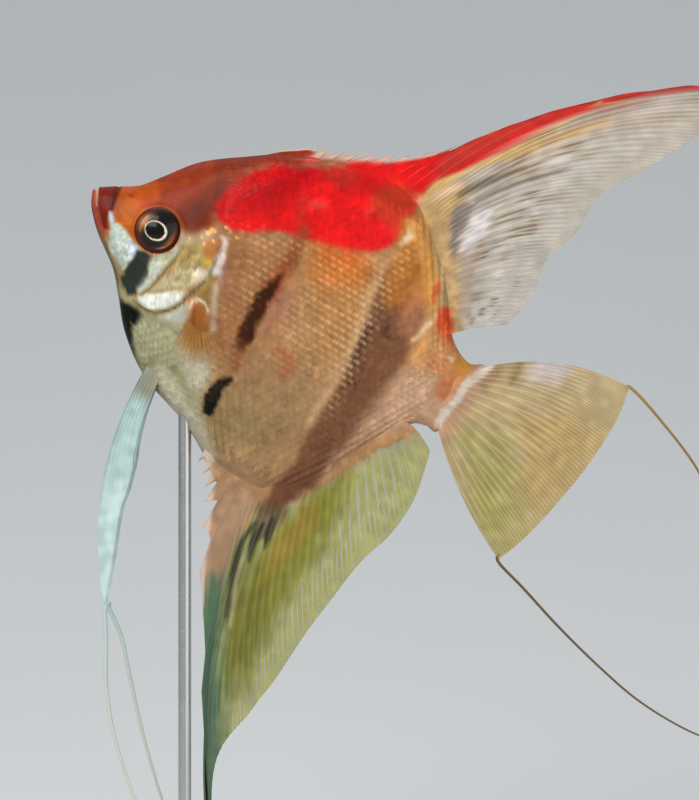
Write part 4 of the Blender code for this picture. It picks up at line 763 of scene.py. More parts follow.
FIN_MARKINGS = {
    "dorsal": [
        patch("rear_beige", 1.8, 0.6, [
            (53.4, 28.7), (54.9, 35.7), (60.4, 37.2), (63.9, 30.7), (67.4, 23.1), (71.5, 17), (74.6, 11.3),
            (66, 14)], 1.0, 1.0),
        patch("fin_beige", 1.6, 1.0, [
            (64.9, 27), (68.4, 30), (69.8, 25.4), (72, 20.4), (74, 15.7), (71.4, 15.8), (67.7, 22.1)],
            0.85, 0.9),
        patch("fin_grey", 0.8, 0.9, [
            (60.5, 32.7), (63.2, 34.6), (64.2, 30.5), (65.3, 25.6), (64.8, 23), (62.3, 27), (61.1, 30.2)],
            0.95, 0.97),
        patch("fin_white", 0.9, 1.1, [
            (64.2, 32.6), (66.5, 35.6), (68, 33), (68.2, 29.6), (67, 27.2), (65.2, 26.2), (65.1, 29.6)],
            0.95, 0.97),
        patch("fin_beige", 3.0, 1.5, [
            (60.6, 40.5), (70, 46), (78, 58), (84, 64), (96, 76), (106, 84), (90, 72), (74, 58.5), (64, 46)],
            0.8, 0.8),
        patch("fin_clear", 4.0, 1.5, [
            (74, 12), (74, 20), (76, 32), (80, 43), (90, 48), (88, 14)], 0.9, 0.16),
        stroke("fin_gold", (0.8, 1.1, 0.6), 0.9, [
            (63.5, 44.8), (68.9, 50.5), (73.4, 56), (77.3, 60.7)], 0.85, 0.9),
        stroke("fin_shadow", (0.6, 0.8, 0.3), 0.6, [
            (60.4, 34.9), (62.7, 38.4), (64.9, 41.2), (68.6, 45.4)], 0.75, 0.94),
        stroke("fin_shadow", (0.3, 0.5, 0.2), 0.5, [
            (63.5, 35.4), (67.1, 40.3), (71.4, 45), (76, 49.6)], 0.6, 0.92),
        patch("saddle_red", 0.8, 0.3, [
            (41, 28), (39.6, 33), (42, 37), (45.6, 41.6), (51.2, 44.4), (55.2, 48.9), (60.4, 55), (70.3, 63),
            (73.9, 67.6), (81.8, 74.6), (90.4, 80.6), (89.7, 76.1), (82.2, 69.4), (74.7, 63.3), (71.1, 58.1),
            (67.7, 52.7), (64.2, 47.3), (60.5, 42.2), (57.4, 38.2), (54.6, 33.8), (53.8, 29.3), (52, 24.5)],
            1.0, 1.0),
        patch("fin_rose", 2.2, 0.6, [
            (54.6, 34), (57.6, 38.4), (61, 43.6), (66, 52), (72, 59), (80, 66), (84, 72), (76, 70), (64, 58),
            (56, 48), (53, 43)], 0.6, 1.0),
        patch("back_ridge", 1.4, 0.5, [
            (26, 24), (29, 31), (36, 36), (41.6, 37.6), (40, 32.4), (36, 29), (32, 25)], 0.95, 1.0),
        stroke("cream_edge", (0.4, 0.7, 0.4), 0.6, [(55.8, 30.6), (57.4, 33.4), (59.8, 36.8)], 0.85, 1.0),
        stroke("fin_yellow", (0.4, 0.5, 0.25), 0.5, [
            (54.9, 31.4), (55.3, 34), (57.8, 37.5), (60.9, 41.5), (64.5, 46.7), (68, 52), (71.4, 57.7),
            (74.7, 63.3)], 0.9, 1.0),
    ],
    "anal": [
        patch("anal_tan", 1.4, 0.8, [
            (42, -30), (53.6, -27.4), (56, -31), (55.6, -33.8), (57, -37.6), (57, -43.4), (57.4, -48.8),
            (55.4, -51.8), (51.4, -49), (47, -40.9), (41, -35)], 1.0, 1.0),
        patch("anal_yellow", 3.0, 1.6, [
            (61, -38), (63.6, -30.2), (65.6, -24.8), (68.5, -21), (70.8, -27.8), (71.6, -37.6),
            (70.5, -47.5), (70.2, -58), (68.4, -70), (63.5, -60), (61.4, -52), (61.2, -46)], 0.9, 0.88),
        patch("anal_gold", 1.6, 1.6, [
            (62.4, -40), (64.4, -32), (66.4, -30), (67.2, -36), (66, -46), (65.4, -56), (63.8, -56),
            (62.6, -48)], 0.7, 0.9),
        patch("anal_grey", 2.2, 1.2, [
            (54.6, -52), (57.6, -50), (59, -50.8), (62, -57.2), (65.9, -64.8), (70.9, -72.8), (79.3, -87.7),
            (88, -106), (84, -106), (69.4, -83.5), (60.1, -66.2)], 1.0, 0.97),
        patch("anal_olive", 4.0, 1.4, [
            (60, -44), (65, -46), (69, -56), (71, -68), (66, -62), (61, -53)], 0.85, 0.92),
        patch("anal_bar", 0.8, 0.5, [
            (58.4, -24), (56.8, -30), (55.9, -33.6), (57.2, -37.4), (57.6, -40.7), (59.9, -41), (61.8, -38),
            (62, -34.7), (61.3, -32.4), (62.6, -30.5), (63.6, -28.4), (64.4, -24)], 1.0, 1.0),
        stroke("anal_dark", (0.3, 0.7, 0.4), 0.6, [
            (57.8, -38.6), (57.5, -43), (58.5, -47.4), (60, -51.4), (61.9, -56.6)], 0.95, 1.0),
        stroke("anal_dark", (0.4, 0.7, 0.2), 0.5, [(59.2, -38.2), (59.3, -42), (60.4, -45.6)], 1.0, 1.0),
        stroke("anal_dark", (0.4, 0.7, 0.2), 0.5, [(60.4, -36.2), (61, -39), (61.8, -41.8)], 1.0, 1.0),
        stroke("anal_rose", (0.4, 0.7, 0.5), 0.7, [
            (44.4, -35.6), (47.6, -39), (51.6, -46.4), (54, -52)], 0.8, 1.0),
        stroke("anal_cream", (0.2, 0.4, 0.3), 0.5, [
            (59, -45), (60, -49.4), (61.6, -53.4), (63.4, -58)], 0.6, 0.95),
    ],
    "tail": [
        patch("tail_rose", 1.5, 0.5, [
            (77.1, 2.8), (78.2, 9.8), (82.8, 10.6), (82.5, 2.1), (82.4, -4.6), (80.4, -9.3), (77.5, -4)],
            0.9, 0.97),
        *TAIL_ROOT_BAND,
        stroke("tail_bar", (0.7, 0.9, 0.8), 0.6, [(82.9, 11.6), (83.2, 8.4), (82.4, 5.6)], 0.5, 0.95),
        stroke("tail_bar", (0.7, 0.8, 0.6), 0.6, [(85.9, 13.6), (86.6, 11), (86.6, 8.6)], 0.6, 0.95),
        patch("tail_lilac", 2.0, 0.6, [(88, 15.4), (94, 18), (95, 14), (89.4, 10.8)], 0.85, 0.95),
        patch("tail_brown", 5.0, 1.5, [(90, 4), (100, 10), (106, 6), (104, -8), (98, -8)], 0.6, 0.88),
        patch("tail_green", 5.0, 1.5, [(84, -4), (92, -2), (99, -10), (102, -20), (92, -16)], 0.8, 0.78),
    ],
    "pelvic": [
        patch("pelvic_grey", 1.4, 0.6, [
            (28.4, -26), (30.4, -32), (33, -40), (36, -50), (38, -58), (37.6, -47), (35.4, -38), (31, -26)],
            0.7, 0.85),
        patch("pelvic_tip", 4.0, 1.0, [(33, -44), (38, -54), (43, -68), (36, -60), (31, -48)], 0.7, 0.95),
        patch("pelvic_root", 2.0, 0.5, [(24, -23), (30, -23), (29.6, -28), (26, -28.6)], 0.6, 1.0),
    ],
    "pectoral": [
        patch("lobe_gold", 2.0, 0.5, [
            (26.6, -10), (33.4, -9.6), (34.2, -15.6), (30.6, -17.4), (27.6, -15)], 0.9, 0.65),
    ],
}


def marking_mask(mark, x, z, wander):
    """How strongly one marking shows at each place, 0 to 1."""
    if mark["kind"] == "patch":
        signed = inside_outline(x, z, mark["points"]) + wander * mark["ragged"]
    else:
        gap, _, share = nearest_on_line(x, z, mark["points"])
        half = along_line(np.array(mark["width"]), share)[..., 0]
        signed = half - gap + wander * mark["ragged"]
    return mark["strength"] * ease(-mark["soft"], mark["soft"], signed)


def near_marking(mark, x, z):
    """The places within reach of a marking, to spare work elsewhere."""
    points = np.array(mark["points"])
    reach = mark["soft"] + mark["ragged"] + (max(mark["width"]) if "width" in mark else 0.0) + 1.0
    low, high = points.min(0) - reach, points.max(0) + reach
    return (x > low[0]) & (x < high[0]) & (z > low[1]) & (z < high[1])


def lay_markings(marks, palette, x, z, wander, colour, cover):
    """Paints the markings one over another into colour and cover, in place."""
    for mark in marks:
        near = near_marking(mark, x, z)
        if not near.any():
            continue
        mask = marking_mask(mark, x[near], z[near], wander[near])
        tone = np.array(palette[mark["colour"]])
        colour[near] += (tone - colour[near]) * mask[:, None]
        if mark["cover"] is not None:
            cover[near] += (mark["cover"] - cover[near]) * mask


def to_linear(colour):
    colour = np.clip(colour, 0.0, 1.0)
    return np.where(colour <= 0.04045, colour / 12.92, ((colour + 0.055) / 1.055) ** 2.4)


def body_paint(points, palette):
    """Display colour and pearl of the body at side-plane points, with painted gold highlights and painted shade
    on the gill cover's wrinkles.
    """
    x, z = points[:, 0], points[:, 2]
    wander = (blotches(points, 1.3, SEED_EDGE_WIDE) - 0.5) * 1.4
    wander += (blotches(points, 0.5, SEED_EDGE_FINE) - 0.5) * 0.8
    colour = np.tile(np.array(palette["flank_tan"]), (len(points), 1))
    pearl = np.full(len(points), PLAIN_PEARL)
    lay_markings(BODY_MARKINGS, palette, x, z, wander, colour, pearl)
    # Painted highlights: small gold spots round the top of the gill cover, with more pearl.
    for gx, gz, radius in GOLD_HIGHLIGHTS:
        mask = ease(radius * 1.2, radius * 0.5, np.hypot(x - gx, z - gz) + wander * 0.12)
        colour += (np.array(palette["gold_gleam"]) - colour) * mask[:, None]
        pearl += (0.9 - pearl) * mask
    specks = ease(0.74, 0.86, blotches(points, 0.38, SEED_SPECK))
    specks *= ease(0.45, 0.7, blotches(points, 2.4, SEED_SPECK_ZONE))
    in_bar = ease(-0.5, 1.5, inside_outline(x, z, BAR_SPECKLED))
    colour += (np.array(palette["bar_dusk"]) - colour) * (specks * in_bar * 0.7)[:, None]
    grain = blotches(points, 0.42, SEED_GRAIN) - 0.5
    on_head = 1 - ease(24.0, 29.0, x)
    pearly = grain * on_head * np.clip(pearl - 0.2, 0, 1)
    tone = 1 + 0.12 * (blotches(points, 4.0, SEED_TONE_WIDE) - 0.5)
    tone += 0.16 * (blotches(points, 1.1, SEED_TONE) - 0.5)
    tone += 0.10 * (blotches(points, 0.45, SEED_TONE_FINE) - 0.5)
    # The wide draw follows the gill cover's wrinkled relief: painted light on its ridges and painted shade in
    # its hollows. The fine draw is tone that the relief does not have.
    crumpled = ease(-0.4, 1.0, inside_outline(x, z, GILL_SOFT))
    draws = ((0.5, SEED_WRINKLE_FINE), (0.8, SEED_WRINKLE_WIDE))
    fine, wide = (wrinkles(x, z, *draw) - 0.5 for draw in draws)
    tone += crumpled * (0.34 * fine + 0.22 * wide)
    return colour * (tone + 0.34 * pearly)[:, None], pearl


def highlight_strength_at(x, z):
    """How strongly a scale's painted highlight shows at this place."""
    highlight_strength = np.full(x.shape, SCALE_HIGHLIGHT_ZONES[0][0])
    for value, outline in SCALE_HIGHLIGHT_ZONES[1:]:
        mask = ease(-1.5, 1.5, inside_outline(x, z, outline))
        highlight_strength += (value - highlight_strength) * mask
    return highlight_strength


# ---- Mesh and material helpers ----

def link_object(name, data):
    """A new object in the scene, at the origin."""
    obj = bpy.data.objects.new(name, data)
    bpy.context.scene.collection.objects.link(obj)
    return obj


def new_mesh_object(name, points_mm, faces, world=True):
    """An object at the origin from side-plane points, smooth shaded, with its faces turned outwards."""
    mesh = bpy.data.meshes.new(name)
    points = to_world(points_mm) if world else np.asarray(points_mm, float) * MM
    mesh.from_pydata(points.tolist(), [], faces)
    mesh.shade_smooth()
    mesh.update()
    if signed_volume(points, faces) < 0:
        mesh.flip_normals()
    return link_object(name, mesh)


def mesh_points(mesh):
    points = np.empty(len(mesh.vertices) * 3, np.float32)
    mesh.vertices.foreach_get("co", points)
    return points.reshape(-1, 3).astype(float)


def signed_volume(points, faces):
    """Six times the volume inside the faces, minus when they are turned inwards."""
    triangles = np.array([(f[0], f[i], f[i + 1]) for f in faces for i in range(1, len(f) - 1)])
    a, b, c = points[triangles].transpose(1, 0, 2)
    return float(np.einsum("ij,ij->i", a, np.cross(b, c)).sum())


def put_colour(mesh, colour, cover):
    """Writes the paint attribute: linear colour, with pearl or opacity in its fourth channel."""
    attribute = mesh.color_attributes.new("paint", "FLOAT_COLOR", "POINT")
    values = np.concatenate([to_linear(colour), np.clip(cover, 0, 1)[:, None]], axis=1)
    attribute.data.foreach_set("color", values.astype(np.float32).ravel())


def grid_faces(rows, columns, wrap):
    """Quads of a grid of rows by columns points. wrap joins the last column to the first."""
    faces = []
    last = columns if wrap else columns - 1
    for i in range(rows - 1):
        for j in range(last):
            k = (j + 1) % columns
            faces.append((i * columns + j, i * columns + k, (i + 1) * columns + k, (i + 1) * columns + j))
    return faces


def capped_rings(rings, start, end):
    """Points and faces of a closed skin from rings (rows x columns x 3) and its two end points."""
    rows, columns = rings.shape[:2]
    points = np.vstack([rings.reshape(-1, 3), [start], [end]])
    faces = grid_faces(rows, columns, True)
    first, last = rows * columns, rows * columns + 1
    base = (rows - 1) * columns
    for j in range(columns):
        k = (j + 1) % columns
        faces.append((first, k, j))
        faces.append((last, base + j, base + k))
    return points, faces


def new_group(name, kind, inputs, outputs):
    """A node group with its sockets. Inputs hold name, type and default or None, outputs name and type."""
    tree = bpy.data.node_groups.new(name, kind)
    for label, socket_kind, default in inputs:
        socket = tree.interface.new_socket(label, in_out="INPUT", socket_type="NodeSocket" + socket_kind)
        if default is not None:
            socket.default_value = default
    for label, socket_kind in outputs:
        tree.interface.new_socket(label, in_out="OUTPUT", socket_type="NodeSocket" + socket_kind)
    return tree, tree.nodes.new("NodeGroupInput"), tree.nodes.new("NodeGroupOutput")


def feed(tree, node, inputs):
    """Gives each of a node's inputs its value, or the link from another node's socket."""
    for label, value in inputs.items():
        if isinstance(value, bpy.types.NodeSocket):
            tree.links.new(value, node.inputs[label])
        else:
            node.inputs[label].default_value = value


def add_node(tree, kind, inputs=None, **options):
    """A new node with its options and its inputs."""
    node = tree.nodes.new(kind)
    for name, value in options.items():
        setattr(node, name, value)
    feed(tree, node, inputs or {})
    return node


def new_material(name):
    """A new material, its node tree and its shader."""
    material = bpy.data.materials.new(name)
    material.use_nodes = True
    return material, material.node_tree, material.node_tree.nodes["Principled BSDF"]


def math_node(tree, operation, first, second, clamp=False):
    node = add_node(tree, "ShaderNodeMath", {0: first, 1: second}, operation=operation, use_clamp=clamp)
    return node.outputs[0]


def plus(tree, first, second):
    return math_node(tree, "ADD", first, second)


def times(tree, first, second):
    return math_node(tree, "MULTIPLY", first, second)


def noise_node(tree, place, scale, detail=3.0):
    node = add_node(tree, "ShaderNodeTexNoise", {"Vector": place, "Scale": scale, "Detail": detail})
    return node.outputs["Fac"]


def bump_node(tree, height, strength, distance):
    node = add_node(tree, "ShaderNodeBump", {"Strength": strength, "Distance": distance, "Height": height})
    return node.outputs["Normal"]


def colour_mix(tree, factor, first, second, blend="MIX"):
    inputs = {"Factor": factor, "A": first, "B": second}
    return add_node(tree, "ShaderNodeMix", inputs, data_type="RGBA", blend_type=blend).outputs["Result"]


def object_place(tree):
    return tree.nodes.new("ShaderNodeTexCoord").outputs["Object"]


def stretched_place(tree, stretch, pitch=0.0):
    """Object coordinates, turned by a pitch and multiplied along each axis."""
    inputs = {"Vector": object_place(tree), "Rotation": (0.0, pitch, 0.0), "Scale": stretch}
    return add_node(tree, "ShaderNodeMapping", inputs).outputs["Vector"]


def wet_skin_group():
    """Living surface: paint mottled by fine pigment, a pearl that turns satin metal, and fine grain."""
    if "wet_skin" in bpy.data.node_groups:
        return bpy.data.node_groups["wet_skin"]
    tree, source, sink = new_group("wet_skin", "ShaderNodeTree", [
        ("Paint", "Color", (0.5, 0.4, 0.3, 1.0)), ("Pearl", "Float", PLAIN_PEARL), ("Mottle", "Float", 0.2),
        ("Roughness", "Float", 0.35), ("Pearl Metal", "Float", 0.3), ("Grain Height", "Float", 0.00004),
    ], [("Colour", "Color"), ("Roughness", "Float"), ("Metallic", "Float"), ("Normal", "Vector")])
    given = source.outputs
    place = stretched_place(tree, (1.0, 1.0, 1.0), -PITCH)
    sizes = ((2600.0, 4.0), (420.0, 3.0), (5200.0, 2.0))
    pigment, cloud, grain = (noise_node(tree, place, *size) for size in sizes)
    spread = plus(tree, times(tree, pigment, 0.7), times(tree, cloud, 0.5))
    tone = plus(tree, times(tree, math_node(tree, "SUBTRACT", spread, 0.6), given["Mottle"]), 1.0)
    grey = add_node(tree, "ShaderNodeCombineColor", {"Red": tone, "Green": tone, "Blue": tone}).outputs["Color"]
    uneven = times(tree, math_node(tree, "SUBTRACT", cloud, 0.5), 0.35)
    smoother = times(tree, given["Pearl"], 0.10)
    rough = math_node(tree, "SUBTRACT", plus(tree, given["Roughness"], uneven), smoother, clamp=True)
    feed(tree, sink, {
        "Colour": colour_mix(tree, 1.0, given["Paint"], grey, "MULTIPLY"), "Roughness": rough,
        "Metallic": math_node(tree, "MULTIPLY", given["Pearl"], given["Pearl Metal"], clamp=True),
        "Normal": bump_node(tree, grain, 0.5, given["Grain Height"]),
    })
    return tree


def painted_material(name, mottle, roughness, metal, grain, coat, see_through=False):
    """A living-surface material that reads the paint attribute through the wet_skin group."""
    material, tree, shader = new_material(name)
    paint = add_node(tree, "ShaderNodeAttribute", attribute_name="paint").outputs
    finish = add_node(tree, "ShaderNodeGroup", {
        "Paint": paint["Color"], "Pearl": PLAIN_PEARL if see_through else paint["Alpha"], "Mottle": mottle,
        "Roughness": roughness, "Pearl Metal": metal, "Grain Height": grain,
    }, node_tree=wet_skin_group()).outputs
    fourth = {"Alpha": paint["Alpha"]} if see_through else {"Metallic": finish["Metallic"]}
    feed(tree, shader, {
        "Base Color": finish["Colour"], "Roughness": finish["Roughness"], "Normal": finish["Normal"], **fourth,
        "Coat Weight": coat, "Coat Roughness": 0.12, "Specular IOR Level": 0.06,
    })
    return material


def settle(obj, material, replaced):
    """Gives a finished piece its material and body, and hides the solids that it stands for."""
    if material is not None and not obj.data.materials:
        obj.data.materials.append(material)
    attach(obj, "root")
    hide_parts(*replaced)


# ---- Settings ----

def tint(name, red, green, blue):
    return FloatVectorProperty(
        name=name, description="Display colour", subtype="COLOR_GAMMA", size=3, min=0.0, max=1.0,
        default=(red / 255, green / 255, blue / 255),
    )


def whole_number(name, value, description, low, high):
    return IntProperty(name=name, description=description, default=value, min=low, max=high)


def multiple(name, value, description):
    return FloatProperty(name=name, description=description, default=value, min=1.0, max=3.0)


def watts(name, value, description):
    return FloatProperty(name=name, description=description + ", in watts", default=value, min=0.0)


def length_mm(name, value, description, low=0.0, high=100.0):
    return FloatProperty(name=name, description=description + ", in mm", default=value, min=low, max=high)


class AngelfishMarkings(PropertyGroup):
    """Colours of the body and of the fins."""

    __annotations__ = {name: tint(name.replace("_", " ").capitalize(), *rgb) for name, rgb in TINTS.items()}


class AngelfishForm(PropertyGroup):
    """Relief of the skin."""

    scale_depth: length_mm("Scale depth", 0.10, "How far the skin lies inside the scales")
    mouth_depth: length_mm("Mouth depth", 0.42, "Depth of the mouth's cleft")
    lip_roll: length_mm("Lip roll", 0.15, "Height of the lips")
    eye_rim: length_mm("Eye rim", 0.20, "Height of the fold round the eye")
    fold_depth: length_mm("Cheek fold", 0.26, "Depth of the fold in front of the gill cover")
    gill_step: length_mm("Gill step", 0.42, "How far the gill cover's edge stands proud")
    fin_lobe: length_mm("Fin lobe", 0.55, "Height of the lobe that carries the pectoral fin")
    rings: whole_number("Rings", 300, "Rings from lips to tail", 40, 900)
    around: whole_number("Around", 316, "Points round each ring", 24, 400)


class AngelfishScales(PropertyGroup):
    """Size and lie of the scales."""

    pitch: length_mm("Pitch", 1.52, "Distance between scales along a row", 0.3, 5.0)
    row: length_mm("Row spacing", 1.30, "Distance between rows", 0.3, 5.0)
    overlap: multiple("Overlap", 1.75, "Scale length over pitch")
    breadth: multiple("Breadth", 1.95, "Scale width over row spacing")
    thickness: length_mm("Thickness", 0.025, "Thickness of a scale's crown", 0.01, 1.0)
    lift: FloatProperty(
        name="Lift", description="Angle at which the free edge stands off", default=math.radians(0.9),
        subtype="ANGLE", min=0.0, max=0.6)
    unevenness: FloatProperty(
        name="Unevenness", description="Spread of the lift", default=math.radians(0.35), subtype="ANGLE",
        min=0.0, max=0.3)
    sink: length_mm("Sink", 0.13, "How deep the foremost scales sit in the skin", 0.0, 1.0)
    crest_gap: length_mm("Crest gap", 2.4, "How far the scales stay from the crest and the keel", 0.0, 5.0)
    seed: whole_number("Seed", 7, "Draw of the uneven lift", 0, 1000)


class AngelfishFins(PropertyGroup):
    """Rays of the fins."""

    membrane: length_mm("Membrane", 0.16, "Thickness of the skin between rays")
    ray: length_mm("Ray", 0.34, "Added thickness of a ray at its root")
    dorsal_rays: whole_number("Dorsal rays", 25, "Soft rays of the dorsal fin", 4, 40)
    anal_rays: whole_number("Anal rays", 26, "Soft rays of the anal fin", 4, 40)
    tail_rays: whole_number("Tail rays", 16, "Rays of the tail fin", 4, 40)
    pectoral_rays: whole_number("Pectoral rays", 12, "Rays of each pectoral fin", 4, 30)


class AngelfishEyes(PropertyGroup):
    """Colours and rings of the eyes."""

    pupil: tint("Pupil", 6, 6, 6)
    ring: tint("Ring round the pupil", 232, 216, 190)
    iris_dark: tint("Dark iris", 13, 13, 7)
    iris_gold: tint("Gold iris", 190, 126, 54)
    iris_rust: tint("Rust iris", 176, 76, 30)
    iris_red: tint("Red outer iris", 74, 20, 10)
    iris_rose: tint("Rose gleam", 206, 146, 118)
    pupil_long: length_mm("Pupil length", 1.86, "Half the pupil's length")
    pupil_high: length_mm("Pupil height", 1.56, "Half the pupil's height")
    iris_radius: length_mm("Iris radius", 3.45, "Where the dark iris gives way to the red ring")


class AngelfishStand(PropertyGroup):
    """Stand and studio."""

    lacquer: tint("Base lacquer", 46, 38, 34)
    steel: tint("Rod steel", 196, 196, 192)
    corner: length_mm("Corner", 14.0, "Radius of the base's corners")
    chamfer: length_mm("Rim", 0.9, "Rounding of the base's top rim")
    floor: tint("Floor", 226, 228, 228)
    camera_distance: FloatProperty(
        name="Camera distance", description="From the lens to the fish", default=0.5, unit="LENGTH", min=0.1)
    key_power: watts("Key power", 3.2, "Power of the main light")
    fill_power: watts("Fill power", 1.3, "Power of the fill light")


class AngelfishSettings(PropertyGroup):
    """All settings of the model."""

    markings: PointerProperty(type=AngelfishMarkings, name="Markings", description="Colours")
    form: PointerProperty(type=AngelfishForm, name="Form", description="Relief of the skin")
    scales: PointerProperty(type=AngelfishScales, name="Scales", description="Scales")
    fins: PointerProperty(type=AngelfishFins, name="Fins", description="Fins")
    eyes: PointerProperty(type=AngelfishEyes, name="Eyes", description="Eyes")
    stand: PointerProperty(type=AngelfishStand, name="Stand", description="Stand and studio")


def settings():
    return bpy.context.scene.angelfish


def current_palette():
    markings = settings().markings
    return {name: tuple(getattr(markings, name)) for name in TINTS}


# ---- Skin and scales ----

SKIN_NODES = (
    "head", "upper_jaw", "lower_jaw", "gill_cover_left", "gill_cover_right", "trunk_front", "trunk_rear",
    "tail_stalk",
)


class ANGELFISH_OT_skin(Operator):
    """Build the one skin over head, trunk and tail stalk"""

    bl_idname = "angelfish.skin"
    bl_label = "Skin"

    def execute(self, context):
        form = settings().form
        t, around = np.meshgrid(
            np.linspace(0, 1, form.rings + 1)[1:-1], np.linspace(0, 2 * math.pi, form.around, endpoint=False),
            indexing="ij")
        ends = body_surface(np.array([0.0, 1.0]), np.zeros(2))
        points, faces = capped_rings(skin_surface(form)(t, around), *ends)
        skin = new_mesh_object("body_skin", points, faces)
        skin.data.set_sharp_from_angle(angle=SKIN_SHARP)
        colour, pearl = body_paint(points, current_palette())
        # Painted shade: the skin is darker where the scales cover it.
        under_scales = scaled_share(points[:, 0], points[:, 2])
        put_colour(skin.data, colour * (1 - UNDER_SCALE_SHADE * under_scales)[:, None], pearl)
        material = painted_material(
            "wet_skin_paint", mottle=0.16, roughness=0.44, metal=0.16, grain=0.00003, coat=0.10)
        settle(skin, material, SKIN_NODES)
        return {"FINISHED"}


def behind_rim(x, z, rim, lobe_rim):
    """0 in front of the scales' rim and round the fin lobe, rising to 1 over the given distances."""
    gap, side, _ = nearest_on_line(x, z, SCALED_EDGE)
    lobe, _, _ = nearest_on_line(x, z, PECTORAL_LOBE)
    return ease(*rim, gap * side) * ease(*lobe_rim, lobe)


def scaled_share(x, z):
    """1 where scales cover the skin, 0 on the head."""
    return behind_rim(x, z, (-0.3, 0.5), (1.3, 1.9))


def edge_share(x, z):
    """0 at the front rim of the scales, rising to 1 a few scales behind it."""
    return behind_rim(x, z, (-0.4, 3.4), (1.3, 3.2))


class FlankChart:
    """Finds places on one flank from the fish's x and the distance up or down from its axis."""

    def __init__(self, form, right):
        self.along = np.linspace(*CHART_SPAN, CHART_COLUMNS)
        rise = np.linspace(-math.pi / 2, math.pi / 2, CHART_ROWS)
        self.around = rise if right else math.pi - rise
        grid_t, grid_a = np.meshgrid(self.along, self.around, indexing="ij")
        self.grid = body_surface(grid_t, grid_a, -form.scale_depth)

    def station(self, x):
        """At one x: each section point's distance from the axis, with its t and around."""
        ts = np.array([
            np.interp(x, np.maximum.accumulate(self.grid[:, k, 0]), self.along)
            for k in range(len(self.around))])
        points = body_surface(ts, self.around, 0.0)
        steps = np.linalg.norm(np.diff(points, axis=0), axis=1)
        arc = np.concatenate([[0.0], np.cumsum(steps)])
        axis = np.interp(0.0, points[:, 2], arc)
        return arc - axis, ts, self.around


def lattice(scales):
    """Columns of scales from head to tail: x, the local size here and a little ahead, and the rows used."""
    x, column = FIRST_COLUMN, 0
    while x <= LAST_COLUMN:
        small, ahead_small = (
            0.72 + 0.28 * ease(15.0, 34.0, v) - 0.24 * ease(62.0, 78.0, v) for v in (x, x + STEP_AHEAD))
        rows = [
            math.copysign(abs(k) ** ROW_CROWDING, k) * scales.row
            for k in range(-ROW_COUNT, ROW_COUNT + 1) if (k + column) % 2 == 0]
        yield x, small, ahead_small, np.array(rows)
        x += scales.pitch * small / 2
        column += 1


def scale_places(form, scales, right):
    """Each scale of one flank: t and around, the same a step ahead, its size and how near it is to the edge."""
    chart = FlankChart(form, right)
    places = []
    for x, small, ahead_small, rows in lattice(scales):
        height, ts, around = chart.station(x)
        ahead_height, ahead_ts, _ = chart.station(x + STEP_AHEAD)
        for s in rows[(rows * small > height[0] - 0.3) & (rows * small < height[-1] + 0.3)]:
            here, ahead = s * small, s * ahead_small
            places.append((
                np.interp(here, height, ts), np.interp(here, height, around),
                np.interp(ahead, ahead_height, ahead_ts), np.interp(ahead, ahead_height, around),
                small, here / (height[-1] if s > 0 else -height[0])))
    return np.array(places)


def scale_template(count, shares):
    """One scale of unit length, width and thickness: root at x = 0, free edge at x = 1, crown up."""
    turn = np.linspace(0, 2 * math.pi, count, endpoint=False)
    rim_x = 0.5 - 0.5 * np.cos(turn)
    rim_y = 0.5 * np.sin(turn) * (1 - 0.14 * np.cos(turn))
    points = [(0.56, 0.0, 1.0)]
    rings = [(share, 1.0 - 0.15 * share ** 4) for share in shares] + [(1.0, 0.2), (1.0, -0.2)]
    for share, height in rings:
        points += [(0.5 + (x - 0.5) * share, y * share, height) for x, y in zip(rim_x, rim_y)]
    points += [(0.5, 0.0, -0.9)]
    faces = []
    outer, last = 1 + (len(rings) - 1) * count, len(points) - 1
    for j in range(count):
        k = (j + 1) % count
        faces.append((0, 1 + k, 1 + j))
        for low in range(1, outer, count):
            faces.append((low + j, low + k, low + count + k, low + count + j))
        faces.append((outer + j, outer + k, last))
    return np.array(points), faces


